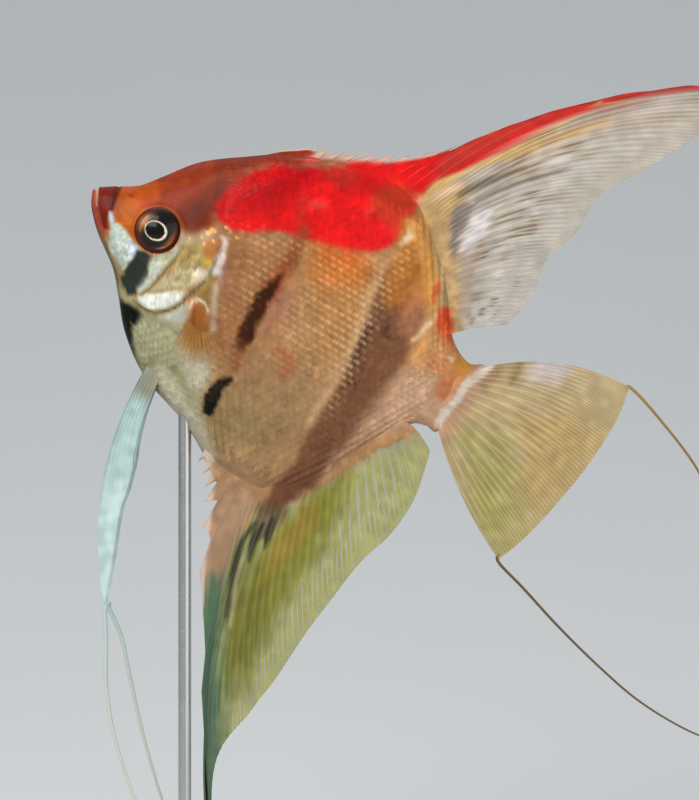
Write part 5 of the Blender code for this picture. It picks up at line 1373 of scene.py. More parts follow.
def scale_tree():
    """Geometry Nodes: one scale on each root, sized, laid along the body and lifted by seeded amounts."""
    if "lay_scales" in bpy.data.node_groups:
        return bpy.data.node_groups["lay_scales"]
    kinds = {
        "Roots": "Geometry", "Scale Shape": "Object", "Length": "Float", "Width": "Float", "Thickness": "Float",
        "Lift": "Float", "Unevenness": "Float", "Seed": "Int", "Finish": "Material",
    }
    inputs = [(label, kind, None) for label, kind in kinds.items()]
    tree, source, sink = new_group("lay_scales", "GeometryNodeTree", inputs, [("Scales", "Geometry")])
    given = source.outputs
    size, turn = (
        add_node(tree, "GeometryNodeInputNamedAttribute", {"Name": name}, data_type=kind).outputs["Attribute"]
        for name, kind in (("scale_size", "FLOAT"), ("scale_turn", "FLOAT_VECTOR")))
    sides = {"X": "Length", "Y": "Width", "Z": "Thickness"}
    lengths = {axis: times(tree, size, given[label]) for axis, label in sides.items()}
    measure = add_node(tree, "ShaderNodeCombineXYZ", lengths)
    draw = add_node(tree, "FunctionNodeRandomValue", {
        2: math_node(tree, "SUBTRACT", given["Lift"], given["Unevenness"]),
        3: plus(tree, given["Lift"], given["Unevenness"]), "Seed": given["Seed"],
    }, data_type="FLOAT")
    tip = add_node(tree, "ShaderNodeCombineXYZ", {"Y": times(tree, draw.outputs[1], -1.0)})
    lie, raised = (
        add_node(tree, "FunctionNodeEulerToRotation", {0: angles}).outputs[0]
        for angles in (turn, tip.outputs[0]))
    both = add_node(tree, "FunctionNodeRotateRotation", {0: lie, 1: raised}, rotation_space="LOCAL")
    shape = add_node(
        tree, "GeometryNodeObjectInfo", {"Object": given["Scale Shape"]}, transform_space="ORIGINAL")
    points = add_node(tree, "GeometryNodeMeshToPoints", {"Mesh": given["Roots"]})
    spread = add_node(tree, "GeometryNodeInstanceOnPoints", {
        "Points": points.outputs["Points"], "Instance": shape.outputs["Geometry"], "Rotation": both.outputs[0],
        "Scale": measure.outputs[0],
    })
    plain = add_node(tree, "GeometryNodeRealizeInstances", {"Geometry": spread.outputs["Instances"]})
    finish = add_node(tree, "GeometryNodeSetMaterial", {
        "Geometry": plain.outputs["Geometry"], "Material": given["Finish"]})
    feed(tree, sink, {"Scales": finish.outputs["Geometry"]})
    return tree


def set_inputs(modifier, tree, values):
    """Sets a modifier's inputs by their socket identifiers."""
    for item in tree.interface.items_tree:
        if item.item_type == "SOCKET" and item.in_out == "INPUT" and item.name in values:
            modifier[item.identifier] = values[item.name]


def euler_angles(right_x, up_z):
    """XYZ Euler angles of frames whose x axis and z axis are given."""
    x = right_x / np.linalg.norm(right_x, axis=1)[:, None]
    y = np.cross(up_z, x)
    y /= np.linalg.norm(y, axis=1)[:, None]
    z = np.cross(x, y)
    pitch = np.arcsin(np.clip(-x[:, 2], -1, 1))
    roll = np.arctan2(y[:, 2], z[:, 2])
    yaw = np.arctan2(x[:, 1], x[:, 0])
    return np.stack([roll, pitch, yaw], axis=1)


def turned_to_world(vectors):
    return (to_world(vectors) - to_world(np.zeros(3))) / MM


def body_scale_beds(right):
    """Roots, normals, lies, sizes and unwrap places of one flank's scales."""
    form, scales = settings().form, settings().scales
    places = scale_places(form, scales, right)
    surface = skin_surface(form)
    roots = surface(places[:, 0], places[:, 1])
    x, z = roots[:, 0], roots[:, 2]
    fin_gap = np.min([nearest_on_line(x, z, FINS[name]["root"])[0] for name in ROOTED_ON_FLANK], axis=0)
    gap, side, _ = nearest_on_line(x, z, FINS["tail"]["root"])
    tail_gap = -gap * side
    reach = half_depth(places[:, 0])
    keep = np.abs(places[:, 5]) < 1 - scales.crest_gap / reach
    keep &= (scaled_share(x, z) > 0.5) & (fin_gap > FIN_CLEARANCE) & (tail_gap > FIN_CLEARANCE)
    places, roots, x, z, fin_gap, tail_gap = (part[keep] for part in (places, roots, x, z, fin_gap, tail_gap))
    t, around, ahead_t, ahead_around, size, crestward = places.T
    normals = outward(surface, t, around)
    bare = (1 - ease(28.0, 31.0, x)) * ease(0.90, 0.97, np.abs(crestward))
    thin_edge = ease(66.0, 70.0, x) * ease(0.72, 0.92, np.abs(crestward))
    belly = ease(-10.0, -18.0, z) * ease(38.0, 44.0, x)
    shallow = edge_share(x, z) * (1 - bare) * (1 - thin_edge) * (1 - 0.36 * belly)
    shallow = shallow * ease(FIN_CLEARANCE, 6.0, fin_gap) * ease(FIN_CLEARANCE, 7.0, tail_gap)
    shallow = shallow * (1 - 0.3 * ease(64.0, 68.0, x))
    roots = roots - normals * (scales.sink * (1 - shallow))[:, None]
    lie = body_surface(ahead_t, ahead_around) - body_surface(t, around)
    unwrap = np.stack([t * 0.8, (around % (2 * math.pi)) / (2 * math.pi)], axis=1)
    return roots, normals, lie, size, unwrap


def scale_bed(name, roots, size, turn):
    """An object with one point for each scale, and the size and the turn of its scale."""
    bed = bpy.data.meshes.new(name + "_bed")
    bed.from_pydata(to_world(roots).tolist(), [], [])
    bed.attributes.new("scale_size", "FLOAT", "POINT").data.foreach_set("value", size.astype(np.float32))
    turns = bed.attributes.new("scale_turn", "FLOAT_VECTOR", "POINT")
    turns.data.foreach_set("vector", turn.astype(np.float32).ravel())
    return link_object(name + "_bed", bed)


def lay_scales(name, beds, template, material):
    """A coat of scales on the beds' roots, as one unwrapped mesh, with each point's owner and corner."""
    scales = settings().scales
    roots, normals, lie, size, root_place = beds
    holder = scale_bed(name, roots, size, euler_angles(turned_to_world(lie), turned_to_world(normals)))
    shape_points, shape_faces = template
    shape = new_mesh_object("scale_shape", shape_points / MM, shape_faces, world=False)
    modifier = holder.modifiers.new("lay", "NODES")
    modifier.node_group = scale_tree()
    set_inputs(modifier, modifier.node_group, {
        "Scale Shape": shape, "Length": scales.pitch * scales.overlap * MM,
        "Width": scales.row * scales.breadth * MM, "Thickness": scales.thickness * MM, "Lift": scales.lift,
        "Unevenness": scales.unevenness, "Seed": scales.seed, "Finish": material,
    })
    bpy.context.view_layer.update()
    graph = bpy.context.evaluated_depsgraph_get()
    mesh = bpy.data.meshes.new_from_object(holder.evaluated_get(graph))
    mesh.name = name
    coat = link_object(name, mesh)
    bpy.data.objects.remove(holder)
    bpy.data.objects.remove(shape)
    for attribute in ("scale_size", "scale_turn"):
        if attribute in mesh.attributes:
            mesh.attributes.remove(mesh.attributes[attribute])
    per_scale = len(shape_points)
    if len(mesh.vertices) != per_scale * len(roots):
        raise RuntimeError(f"{name}: {len(mesh.vertices)} points from {len(roots)} scales")
    mesh.shade_smooth()
    mesh.set_sharp_from_angle(angle=SCALE_SHARP)
    corner = np.arange(len(mesh.vertices)) % per_scale
    owner = np.arange(len(mesh.vertices)) // per_scale
    loops = np.empty(len(mesh.loops), np.int32)
    mesh.loops.foreach_get("vertex_index", loops)
    patches = root_place[owner] + (shape_points[corner][:, :2] + np.array([0.0, 0.5])) * PATCH
    layer = mesh.uv_layers.new(name="OFBake")
    layer.data.foreach_set("uv", patches[loops].astype(np.float32).ravel())
    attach(coat, "root")
    return coat, owner, shape_points[corner]


def to_side_plane(world):
    """Metres in the model's frame back to side-plane millimetres."""
    turned = world / MM - SNOUT_PLACE
    x, y, z = turned[:, 0], turned[:, 1], turned[:, 2]
    cos, sin = math.cos(PITCH), math.sin(PITCH)
    return np.stack([x * cos - z * sin, y, x * sin + z * cos], axis=1)


def paint_body_scales(mesh, roots, owner, local, palette):
    """The body's markings on each scale with uneven brightness, painted shade towards its root, and a painted
    highlight: a pale fleck and a pale free edge.
    """
    colour, pearl = body_paint(to_side_plane(mesh_points(mesh)), palette)
    # Painted highlights: a cream fleck near each scale's free edge and a paler free edge, as strong as the
    # zones and the noise give.
    highlight_strength = highlight_strength_at(roots[:, 0], roots[:, 2])
    apart = roots * np.array([1.0, 7.0, 1.0])
    uneven = 0.25 + 0.9 * blotches(apart, 0.31, SEED_HIGHLIGHT)
    uneven = uneven + 0.5 * blotches(roots, 3.0, SEED_HIGHLIGHT_CLOUD) - 0.25
    aside = 0.16 * (blotches(apart, 0.37, SEED_HIGHLIGHT_FLECK) - 0.5)
    highlight_strength = highlight_strength * np.clip(uneven, 0.0, 1.2)
    highlight_fleck = hump(local[:, 0] - 0.74, 0.27) * hump(local[:, 1] - aside[owner] * local[:, 0], 0.085)
    rim = 0.34 * ease(0.88, 1.0, local[:, 0])
    highlight_amount = np.clip(highlight_strength[owner] * np.maximum(highlight_fleck * 1.1, rim), 0, 0.9)
    # Painted shade: each scale is darker towards its root and lighter towards its free edge.
    colour = colour * (0.93 + 0.09 * ease(0.3, 0.9, local[:, 0]))[:, None]
    own_tone = 0.93 + 0.14 * blotches(roots * np.array([1.0, 5.0, 1.0]), 0.27, SEED_SCALE_TONE)
    colour = colour * own_tone[owner][:, None]
    pale = 0.25 * colour + 0.75 * np.array(palette["scale_gleam"])
    colour += (pale - colour) * highlight_amount[:, None]
    put_colour(mesh, colour, pearl + 0.3 * highlight_amount)


class ANGELFISH_OT_scales(Operator):
    """Lay the scales on both flanks"""

    bl_idname = "angelfish.scales"
    bl_label = "Scales"

    def execute(self, context):
        material = painted_material(
            "scale_paint", mottle=0.10, roughness=0.42, metal=0.20, grain=0.00001, coat=0.10)
        for name, right in (("scales_left", False), ("scales_right", True)):
            beds = body_scale_beds(right)
            template = scale_template(SCALE_CORNERS, SCALE_RINGS)
            coat, owner, local = lay_scales(name, beds, template, material)
            paint_body_scales(coat.data, beds[0], owner, local, current_palette())
        return {"FINISHED"}


# ---- Eyes ----

def away(angle, direction):
    """How far angles are from a direction, the short way round."""
    return np.abs(np.arctan2(np.sin(angle - direction), np.cos(angle - direction)))


def eye_paint(x, z, eyes):
    """Display colour over an eye: x and z are from its middle, x towards the tail."""
    radius = np.hypot(x, z)
    angle = np.arctan2(z, x)
    points = np.stack([x, np.zeros_like(x), z], axis=1)
    x, z = x - PUPIL_PLACE[0], z - PUPIL_PLACE[1]
    painted = np.tile(np.array(eyes.iris_dark), (len(x), 1))

    def lay(name, mask):
        nonlocal painted
        painted = painted + (np.array(getattr(eyes, name)) - painted) * mask[:, None]

    spokes = np.stack([angle * 5.0, radius * 0.6, angle * 0], axis=1)
    fibres = (0.75 + 0.5 * blotches(spokes, 0.22, SEED_FIBRES)).clip(0, 1)
    front, rear = (hump(away(angle, math.radians(direction)), 0.62) for direction in (176, -8))
    above = hump(angle - 1.4, 0.85)
    outer = eyes.iris_radius
    lay("iris_gold", front * ease(2.3, 2.7, radius) * fibres)
    lay("iris_gold", rear * hump(radius - 2.8, 0.3) * 0.6 * fibres)
    lay("iris_rust", rear * hump(radius - 3.25, 0.32) * 0.95)
    lay("iris_rose", front * hump(radius - 3.6, 0.42) * 0.9)
    lay("iris_red", ease(outer - 0.2, outer + 0.3, radius) * (1 - 0.85 * above) * (1 - 0.5 * front))
    lay("iris_red", ease(4.05, 4.3, radius) * (1 - 0.5 * above))
    lay("iris_rose", hump(radius - outer + 0.15, 0.16) * hump(angle + 0.75, 0.5) * 0.8)
    pupil = np.hypot(x / eyes.pupil_long, z / eyes.pupil_high)
    ring_width = 0.17 + 0.09 * np.cos(angle)
    lay("ring", ease(1.02 + ring_width + 0.05, 1.02 + ring_width - 0.05, pupil))
    lay("pupil", ease(1.05, 0.98, pupil))
    tone = 1 + 0.25 * (blotches(points, 0.35, SEED_EYE_TONE) - 0.5)
    return painted * tone[:, None]


def eye_material():
    """Wet eye: its paint under fine fibres and a clear coat."""
    material, tree, shader = new_material("wet_eye")
    paint = add_node(tree, "ShaderNodeAttribute", attribute_name="paint").outputs["Color"]
    fine = noise_node(tree, stretched_place(tree, (1.0, 1.0, 1.0), -PITCH), 3800.0)
    feed(tree, shader, {
        "Base Color": colour_mix(tree, 0.12, paint, fine, "OVERLAY"), "Roughness": 0.22,
        "Specular IOR Level": 0.1, "Coat Weight": 0.26, "Coat Roughness": 0.03,
    })
    return material


def eyeball(sign):
    """Points and faces of one eye: a flattened ball whose outer face bulges over the lens."""
    polar, turn = np.meshgrid(
        np.linspace(0, math.pi, 83)[1:-1] ** 1.15 / math.pi ** 0.15,
        np.linspace(0, 2 * math.pi, 96, endpoint=False), indexing="ij")
    flat = EYE_RADIUS * np.sin(polar)
    x, z = flat * np.cos(turn), flat * np.sin(turn)
    y = sign * (EYE_OUT + EYE_DEPTH * np.cos(polar) + LENS_BULGE * hump(flat, 2.3) * (polar < math.pi / 2))
    rings = np.stack([x + EYE_PLACE[0], y, z + EYE_PLACE[1]], axis=-1)
    outs = (EYE_OUT + EYE_DEPTH + LENS_BULGE, EYE_OUT - EYE_DEPTH)
    return capped_rings(rings, *((EYE_PLACE[0], sign * out, EYE_PLACE[1]) for out in outs))


class ANGELFISH_OT_eyes(Operator):
    """Build both eyeballs"""

    bl_idname = "angelfish.eyes"
    bl_label = "Eyes"

    def execute(self, context):
        material = eye_material()
        for side, sign in SIDES:
            points, faces = eyeball(sign)
            eye = new_mesh_object(f"{side}_eye", points, faces)
            colour = eye_paint(points[:, 0] - EYE_PLACE[0], points[:, 2] - EYE_PLACE[1], settings().eyes)
            put_colour(eye.data, colour, np.ones(len(points)))
            settle(eye, material, [f"eye_{side}"])
        return {"FINISHED"}


# ---- Fins ----

def ray_places(fin, across, along):
    """Points on a fin's middle sheet. across runs over the rays, along from root to edge."""
    root, edge = along_line(fin["root"], across), along_line(fin["edge"], across)
    first, last = fin["bend"]
    chord = edge - root
    aside = np.stack([-chord[..., 1], chord[..., 0]], axis=-1)
    control = (root + edge) / 2 + aside * (first + (last - first) * across ** 2)[..., None]
    p = along[..., None]
    flat = root * (1 - p) ** 2 + control * 2 * p * (1 - p) + edge * p ** 2
    out_root, out_middle, out_first, out_last = fin["lean"]
    out_edge = out_first + (out_last - out_first) * across
    out = out_root * (1 - along) ** 2 + out_middle * 2 * along * (1 - along) + out_edge * along ** 2
    return np.stack([flat[..., 0], out, flat[..., 1]], axis=-1)


def ray_ridges(within, along, splits, width):
    """Height of a ray's ridges, 0 to 1. within is the offset from the ray, in ray spacings."""
    first, second = splits
    one = 0.25 * ease(first, first + 0.32, along)
    two = 0.125 * ease(second, second + 0.22, along)
    narrow = width * (1 - 0.42 * ease(first, first + 0.3, along))
    narrow = narrow * (1 - 0.40 * ease(second, second + 0.25, along))
    ridges = [hump(within - a * one - b * two, narrow) for a in (-1, 1) for b in (-1, 1)]
    return np.max(ridges, axis=0)


def fin_part(fin, rays, per_ray, splits=(0.42, 0.74), width=0.20, membrane=0.16, ray=0.34, **edge):
    """One run of rays of a fin sheet and how its rays, membrane and edge are shaped."""
    plain_edge = {"lappet": 0.0, "plain_after": 99, "big_flap": 0.0, "low_start": 0.0}
    return {
        "fin": FINS[fin], "rays": rays, "per_ray": per_ray, "splits": splits, "width": width,
        "membrane": membrane, "ray": ray, **plain_edge, **edge,
    }


class FinSheet:
    """The grid of one fin, made of one or more runs of rays: its places, ridges and thickness."""

    def __init__(self, parts, rows, inside=1.6, root_thick=1.5, sheath=3.0, strong_first=0.0, on_edge=None,
                 power=2, tapered=False, soft_start=0.0):
        runs = []
        first_ray = 0
        for number, part in enumerate(parts):
            runs.append(self.run(part, rows, inside, first_ray, number))
            first_ray += part["rays"] + 1
        for name in runs[0]:
            setattr(self, name, np.concatenate([run[name] for run in runs]))
        taper = 1 - 0.62 * np.clip(self.place, 0, 1)
        half = self.membrane / 2 + self.ray_height / 2 * self.ridge * taper * ease(0.0, 3.0, self.from_root)
        half = half + strong_first / 2 * hump(self.across + self.part, 0.05) * taper
        early = 0.0
        if on_edge is not None:
            root_thick, sheath, early, power = self.fillet(on_edge)
        fall = np.clip(1 - (self.from_root + early) / sheath, 0, 1) ** power
        swell = (root_thick - self.membrane) / 2 * fall
        if tapered:
            swell = swell * (1 - np.abs(2 * self.across - 1) ** 3)
        if soft_start:
            swell = swell * ease(0.0, soft_start, self.across + self.part)
        half = half + swell
        self.half = half * (0.35 + 0.65 * ease(0.0, 0.7, self.to_edge))

    def fillet(self, edge, depth=1.5):
        """Thickness, length, start and power of a fillet that leaves the body's side at its own slope."""
        root = self.points[:, 2]
        _, _, t = nearest_on_line(root[:, 0], root[:, 2], edge)
        height = half_depth(t)
        roundness = HEAD_ROUNDNESS + (TAIL_ROUNDNESS - HEAD_ROUNDNESS) * t
        half = along_line(HALVES, t)[..., 0] * (2 * depth / height) ** (roundness / 2)
        return 2 * half[:, None], (6 * depth / roundness)[:, None], depth, 3

    def run(self, part, rows, inside, first_ray, number):
        rays = part["rays"]
        across, along = np.meshgrid(
            np.linspace(0, 1, rays * part["per_ray"] + 1), np.linspace(0, 1, rows + 1), indexing="ij")
        phase = across * rays
        ray = np.floor(phase + 0.5)
        within = phase - ray
        ridge = ray_ridges(within, along, part["splits"], part["width"])
        middle, root = (ray_places(part["fin"], across, np.full_like(along, a)) for a in (0.5, 0.0))
        length = 2 * np.linalg.norm(middle - root, axis=-1)
        behind = phase - np.floor(phase + 1e-6)
        tooth = np.where(behind < 0.9, behind / 0.9, (1 - behind) / 0.1) ** 1.25
        flaps = 1 - ease(part["plain_after"] - 1, part["plain_after"] + 1, phase)
        flaps = flaps * (1 + part["big_flap"] * hump(phase - BIG_FLAP, 0.5))
        flaps = flaps * (1 - part["low_start"] * (1 - ease(0.6, 1.2, phase)))
        cut = (part["lappet"] * tooth * flaps + 0.22 * (1 - ridge[:, -1:])) / length
        start = -inside / length
        reach = 1 - np.minimum(cut, 0.70)
        place = start + (reach - start) * along
        return {
            "across": across, "ray": ray + first_ray, "within": within, "ridge": ridge, "place": place,
            "points": ray_places(part["fin"], across, place), "to_edge": (reach - place) * length,
            "to_tip": (1 - place) * length, "from_root": place * length, "part": np.full_like(across, number),
            "membrane": np.full_like(across, part["membrane"]),
            "ray_height": np.full_like(across, part["ray"]),
        }

    def shell(self, side=1.0):
        """Points and faces of the closed shell round the sheet."""
        points = self.points * np.array([1.0, side, 1.0])
        along = np.gradient(points, axis=1)
        across = np.gradient(points, axis=0)
        normal = np.cross(along, across)
        normal /= np.maximum(np.linalg.norm(normal, axis=-1), 1e-9)[..., None]
        upper = (points + normal * self.half[..., None]).reshape(-1, 3)
        lower = (points - normal * self.half[..., None]).reshape(-1, 3)
        columns, rows = self.across.shape
        faces = grid_faces(columns, rows, False)
        below = len(upper)
        faces += [tuple(below + i for i in reversed(face)) for face in faces]
        rim = [(i, 0) for i in range(columns)]
        rim += [(columns - 1, j) for j in range(1, rows)]
        rim += [(i, rows - 1) for i in range(columns - 2, -1, -1)]
        rim += [(0, j) for j in range(rows - 2, 0, -1)]
        loop = [i * rows + j for i, j in rim]
        for a, b in zip(loop, loop[1:] + loop[:1]):
            faces.append((a, b, below + b, below + a)[::-1])
        return np.vstack([upper, lower]), faces

    def both(self, values):
        """Sheet values repeated for the two faces of the shell."""
        flat = values.reshape((-1,) + values.shape[2:])
        return np.concatenate([flat, flat])


def fin_paint(sheet, fin, palette, clear, clear_cover, dash=0.0, ray_tone="fin_ray", ray_strength=0.55,
              ray_cover=0.96, solid_parts=0, solid_tone=None, body_reach=0.0, bare_root=3.5, root_cover=0.16):
    """Display colour and opacity over a sheet's two faces."""
    x, z = sheet.points[..., 0].ravel(), sheet.points[..., 2].ravel()
    points = sheet.points.reshape(-1, 3)
    place = sheet.place.ravel()
    streaks = blotches(np.stack([sheet.ray.ravel() * 3.1, z * 0 + 0.5, place * 9], axis=1), 1.0, SEED_STREAKS)
    lanes = (sheet.ray + sheet.within).ravel() * 2.6
    wander = (blotches(np.stack([lanes, z * 0, place * 9], axis=1), 1.0, SEED_LANES) - 0.5) * 2
    colour = np.tile(np.array(palette[clear]), (len(x), 1))
    cover = np.full(len(x), clear_cover)
    cover = cover + root_cover * (1 - ease(0.0, 12.0, sheet.from_root.ravel()))
    soft = sheet.part.ravel() >= solid_parts
    if solid_tone:
        cover[~soft] = 1.0
        colour[~soft] = palette[solid_tone]
    lay_markings(FIN_MARKINGS[fin], palette, x, z, wander, colour, cover)
    if body_reach:
        body_colour, _ = body_paint(points, palette)
        near = 1 - ease(0.25 * body_reach, body_reach, sheet.from_root.ravel() + 0.6 * wander)
        colour += (body_colour - colour) * near[:, None]
        cover = np.maximum(cover, near)
    ridge = sheet.ridge.ravel() * ease(0.3 * bare_root, bare_root, sheet.from_root.ravel())
    if dash:
        zone = ease(0.20, 0.36, place) * (1 - ease(0.66, 0.92, place)) * soft
        dashes = ease(0.46, 0.80, streaks) * zone * dash * (1 - ridge)
        colour += (np.array(palette["fin_dash"]) - colour) * dashes[:, None]
        cover = cover + (0.92 - cover) * dashes * 0.7
        pale = ease(0.56, 0.80, 1 - streaks) * zone * dash * 0.5
        colour += (np.array(palette["fin_white"]) - colour) * pale[:, None]
        cover = cover + (0.9 - cover) * pale * 0.5
    rays = ridge * ray_strength * np.where(soft, 1.0, 0.15)
    own = 0.55 * colour + 0.45 * np.array(palette[ray_tone])
    colour += (own - colour) * rays[:, None]
    colour = colour * (0.92 + 0.16 * blotches(points, 1.6, SEED_FIN_TONE))[:, None]
    cover = cover + (ray_cover - cover) * ridge * 0.9
    return np.concatenate([colour, colour]), np.concatenate([cover, cover])


def tube(route, outs, radii, side=1.0, count=90, around=10):
    """Points and faces of a tapering streamer with closed, rounded ends."""
    t = np.linspace(0, 1, count)
    flat = along_line(route, t)
    centre = np.stack([flat[:, 0], side * (outs[0] + (outs[1] - outs[0]) * t), flat[:, 1]], axis=1)
    radius = radii[0] + (radii[1] - radii[0]) * t
    radius = radius * np.sqrt(np.clip(1 - ease(0.985, 1.0, t) * 0.8, 0, 1))
    forward = np.gradient(centre, axis=0)
    forward /= np.linalg.norm(forward, axis=1)[:, None]
    aside = np.cross(forward, np.array([0.0, 1.0, 0.0]))
    aside /= np.linalg.norm(aside, axis=1)[:, None]
    up = np.cross(aside, forward)
    turn = np.linspace(0, 2 * math.pi, around, endpoint=False)
    rings = centre[:, None] + radius[:, None, None] * (
        np.cos(turn)[None, :, None] * aside[:, None] + np.sin(turn)[None, :, None] * up[:, None])
    points, faces = capped_rings(rings, centre[0] - forward[0] * 0.1, centre[-1] + forward[-1] * 0.08)
    return points, faces, np.concatenate([np.repeat(t, around), [0.0, 1.0]])


def join_shapes(shapes):
    """One list of points and faces, colours and covers from several closed shapes."""
    points, faces, colours, covers = [], [], [], []
    shift = 0
    for shape_points, shape_faces, colour, cover in shapes:
        if signed_volume(shape_points, shape_faces) < 0:
            shape_faces = [face[::-1] for face in shape_faces]
        points.append(shape_points)
        faces += [tuple(shift + i for i in face) for face in shape_faces]
        colours.append(colour)
        covers.append(cover)
        shift += len(shape_points)
    return np.vstack(points), faces, np.vstack(colours), np.concatenate(covers)


def streamer_shape(name, start_tone, end_tone, side=1.0):
    """A streamer that shades from its start tone to its end tone."""
    palette = current_palette()
    points, faces, share = tube(*STREAMERS[name], side)
    start, end = np.array(palette[start_tone]), np.array(palette[end_tone])
    colour = start + (end - start) * share[:, None]
    return points, faces, colour, np.full(len(points), 1.0)


def build_fin_piece(name, replaced, sheet, paint, side=1.0, streamers=()):
    """One fin from its sheet, the sheet's colour and opacity, and its streamers."""
    points, faces, colour, cover = join_shapes([(*sheet.shell(side), *paint), *streamers])
    obj = new_mesh_object(name, points, faces)
    put_colour(obj.data, colour, cover)
    settle(obj, fin_material(), replaced)


def fin_material():
    if "fin_paint" in bpy.data.materials:
        return bpy.data.materials["fin_paint"]
    return painted_material(
        "fin_paint", mottle=0.10, roughness=0.40, metal=0.0, grain=0.00001, coat=0.12, see_through=True)


def lappet_paint(sheet, palette, colour, from_ray, to_ray, reach):
    """Cream tips on the flaps behind the spines, over both faces."""
    fades = ease(from_ray - 0.5, from_ray + 0.5, sheet.ray)
    fades = fades * (1 - ease(to_ray - 0.5, to_ray + 0.5, sheet.ray))
    mask = sheet.both(ease(reach, 0.5 * reach, sheet.to_tip) * fades * 0.9)
    return colour + (np.array(palette["lappet_cream"]) - colour) * mask[:, None]


def dorsal_sheet(fins):
    return FinSheet([
        fin_part("dorsal_front", 2, 10, **SPINY, ray=0.10),
        fin_part(
            "dorsal_spines", 12, 10, **SPINY, ray=0.24, lappet=5.4, plain_after=12.5, big_flap=0.9,
            low_start=0.8),
        fin_part("dorsal_rays", fins.dorsal_rays, 10, membrane=fins.membrane, ray=fins.ray),
    ], rows=84, inside=2.2, on_edge=TOPS, soft_start=0.9)


def anal_sheet(fins):
    return FinSheet([
        fin_part("anal_spines", 6, 10, **SPINY, ray=0.30, lappet=5.0, plain_after=7),
        fin_part("anal_rays", fins.anal_rays, 10, membrane=fins.membrane, ray=fins.ray),
    ], rows=84, inside=2.2, on_edge=BOTTOMS)


def dorsal_paint(sheet):
    palette = current_palette()
    colour, cover = fin_paint(
        sheet, "dorsal", palette, "fin_clear", 0.46, dash=0.9, solid_parts=2, solid_tone="saddle_red",
        body_reach=2.6, bare_root=9.0)
    reach = 1.0 + 6.5 * ease(3.2, 4.6, sheet.ray + sheet.within)
    return lappet_paint(sheet, palette, colour, -1.0, 12.4, reach), cover


def anal_paint(sheet):
    palette = current_palette()
    colour, cover = fin_paint(
        sheet, "anal", palette, "anal_clear", 0.30, dash=0.2, ray_tone="anal_cream", solid_parts=1,
        solid_tone="anal_tan", body_reach=3.6, bare_root=5.0, ray_cover=0.8, ray_strength=0.45)
    return lappet_paint(sheet, palette, colour, -1.0, 5.6, 4.5), cover


def tail_sheet(fins):
    return FinSheet([
        fin_part("tail", fins.tail_rays, 14, (0.30, 0.58), 0.17, membrane=fins.membrane, ray=fins.ray * 1.2),
    ], rows=80, inside=2.6, root_thick=4.0, sheath=7.0, strong_first=0.3, power=1.5, tapered=True)


class ANGELFISH_OT_dorsal_fin(Operator):
    """Build the dorsal fin: spines in front, soft rays behind"""

    bl_idname = "angelfish.dorsal_fin"
    bl_label = "Dorsal fin"

    def execute(self, context):
        sheet = dorsal_sheet(settings().fins)
        build_fin_piece(
            "dorsal_fin", ["dorsal_fin_spines", "dorsal_fin_rays"], sheet, dorsal_paint(sheet))
        return {"FINISHED"}


class ANGELFISH_OT_anal_fin(Operator):
    """Build the anal fin: spines in front, soft rays behind"""

    bl_idname = "angelfish.anal_fin"
    bl_label = "Anal fin"

    def execute(self, context):
        sheet = anal_sheet(settings().fins)
        build_fin_piece("anal_fin", ["anal_fin_spines", "anal_fin_rays"], sheet, anal_paint(sheet))
        return {"FINISHED"}


class ANGELFISH_OT_tail_fin(Operator):
    """Build the tail fin with its two streamers"""

    bl_idname = "angelfish.tail_fin"
    bl_label = "Tail fin"

    def execute(self, context):
        sheet = tail_sheet(settings().fins)
        paint = fin_paint(
            sheet, "tail", current_palette(), "tail_clear", 0.60, dash=0.25, ray_tone="tail_white",
            ray_strength=0.75, body_reach=1.8)
        streamers = [
            streamer_shape("tail_upper", "tail_brown", "streamer_brown"),
            streamer_shape("tail_lower", "streamer_brown", "streamer_brown"),
        ]
        build_fin_piece(
            "caudal_fin", ["tail_fin", "tail_streamer_upper", "tail_streamer_lower"], sheet, paint,
            streamers=streamers)
        return {"FINISHED"}


class ANGELFISH_OT_pelvic_fins(Operator):
    """Build both pelvic fins with their long filaments"""

    bl_idname = "angelfish.pelvic_fins"
    bl_label = "Pelvic fins"

    def execute(self, context):
        sheet = FinSheet(
            [fin_part("pelvic", 6, 10, (0.5, 0.8), 0.26, membrane=0.34, ray=0.40)], rows=80, root_thick=1.6,
            sheath=4.0, strong_first=0.35)
        paint = fin_paint(
            sheet, "pelvic", current_palette(), "pelvic_white", 0.92, ray_tone="pelvic_white", ray_strength=0.6)
        for side, sign in SIDES:
            filament = streamer_shape(f"pelvic_{side}", "pelvic_white", "streamer_cream", sign)
            build_fin_piece(
                f"{side}_pelvic_fin", [f"pelvic_fin_{side}", f"pelvic_filament_{side}"],
                sheet, paint, sign, [filament])
        return {"FINISHED"}


class ANGELFISH_OT_pectoral_fins(Operator):
    """Build both pectoral fins"""

    bl_idname = "angelfish.pectoral_fins"
    bl_label = "Pectoral fins"

    def execute(self, context):
        rays = settings().fins.pectoral_rays
        sheet = FinSheet(
            [fin_part("pectoral", rays, 12, (0.35, 0.65), membrane=0.08, ray=0.16)], rows=56,
            inside=0.9, root_thick=1.2, sheath=2.2)
        paint = fin_paint(
            sheet, "pectoral", current_palette(), "lobe_gold", 0.0, ray_tone="lobe_gold", ray_strength=0.3,
            ray_cover=0.03, root_cover=0.0)
        for side, sign in SIDES:
            build_fin_piece(f"{side}_pectoral_fin", [f"pectoral_fin_{side}"], sheet, paint, sign)
        return {"FINISHED"}


# ---- Stand and studio ----

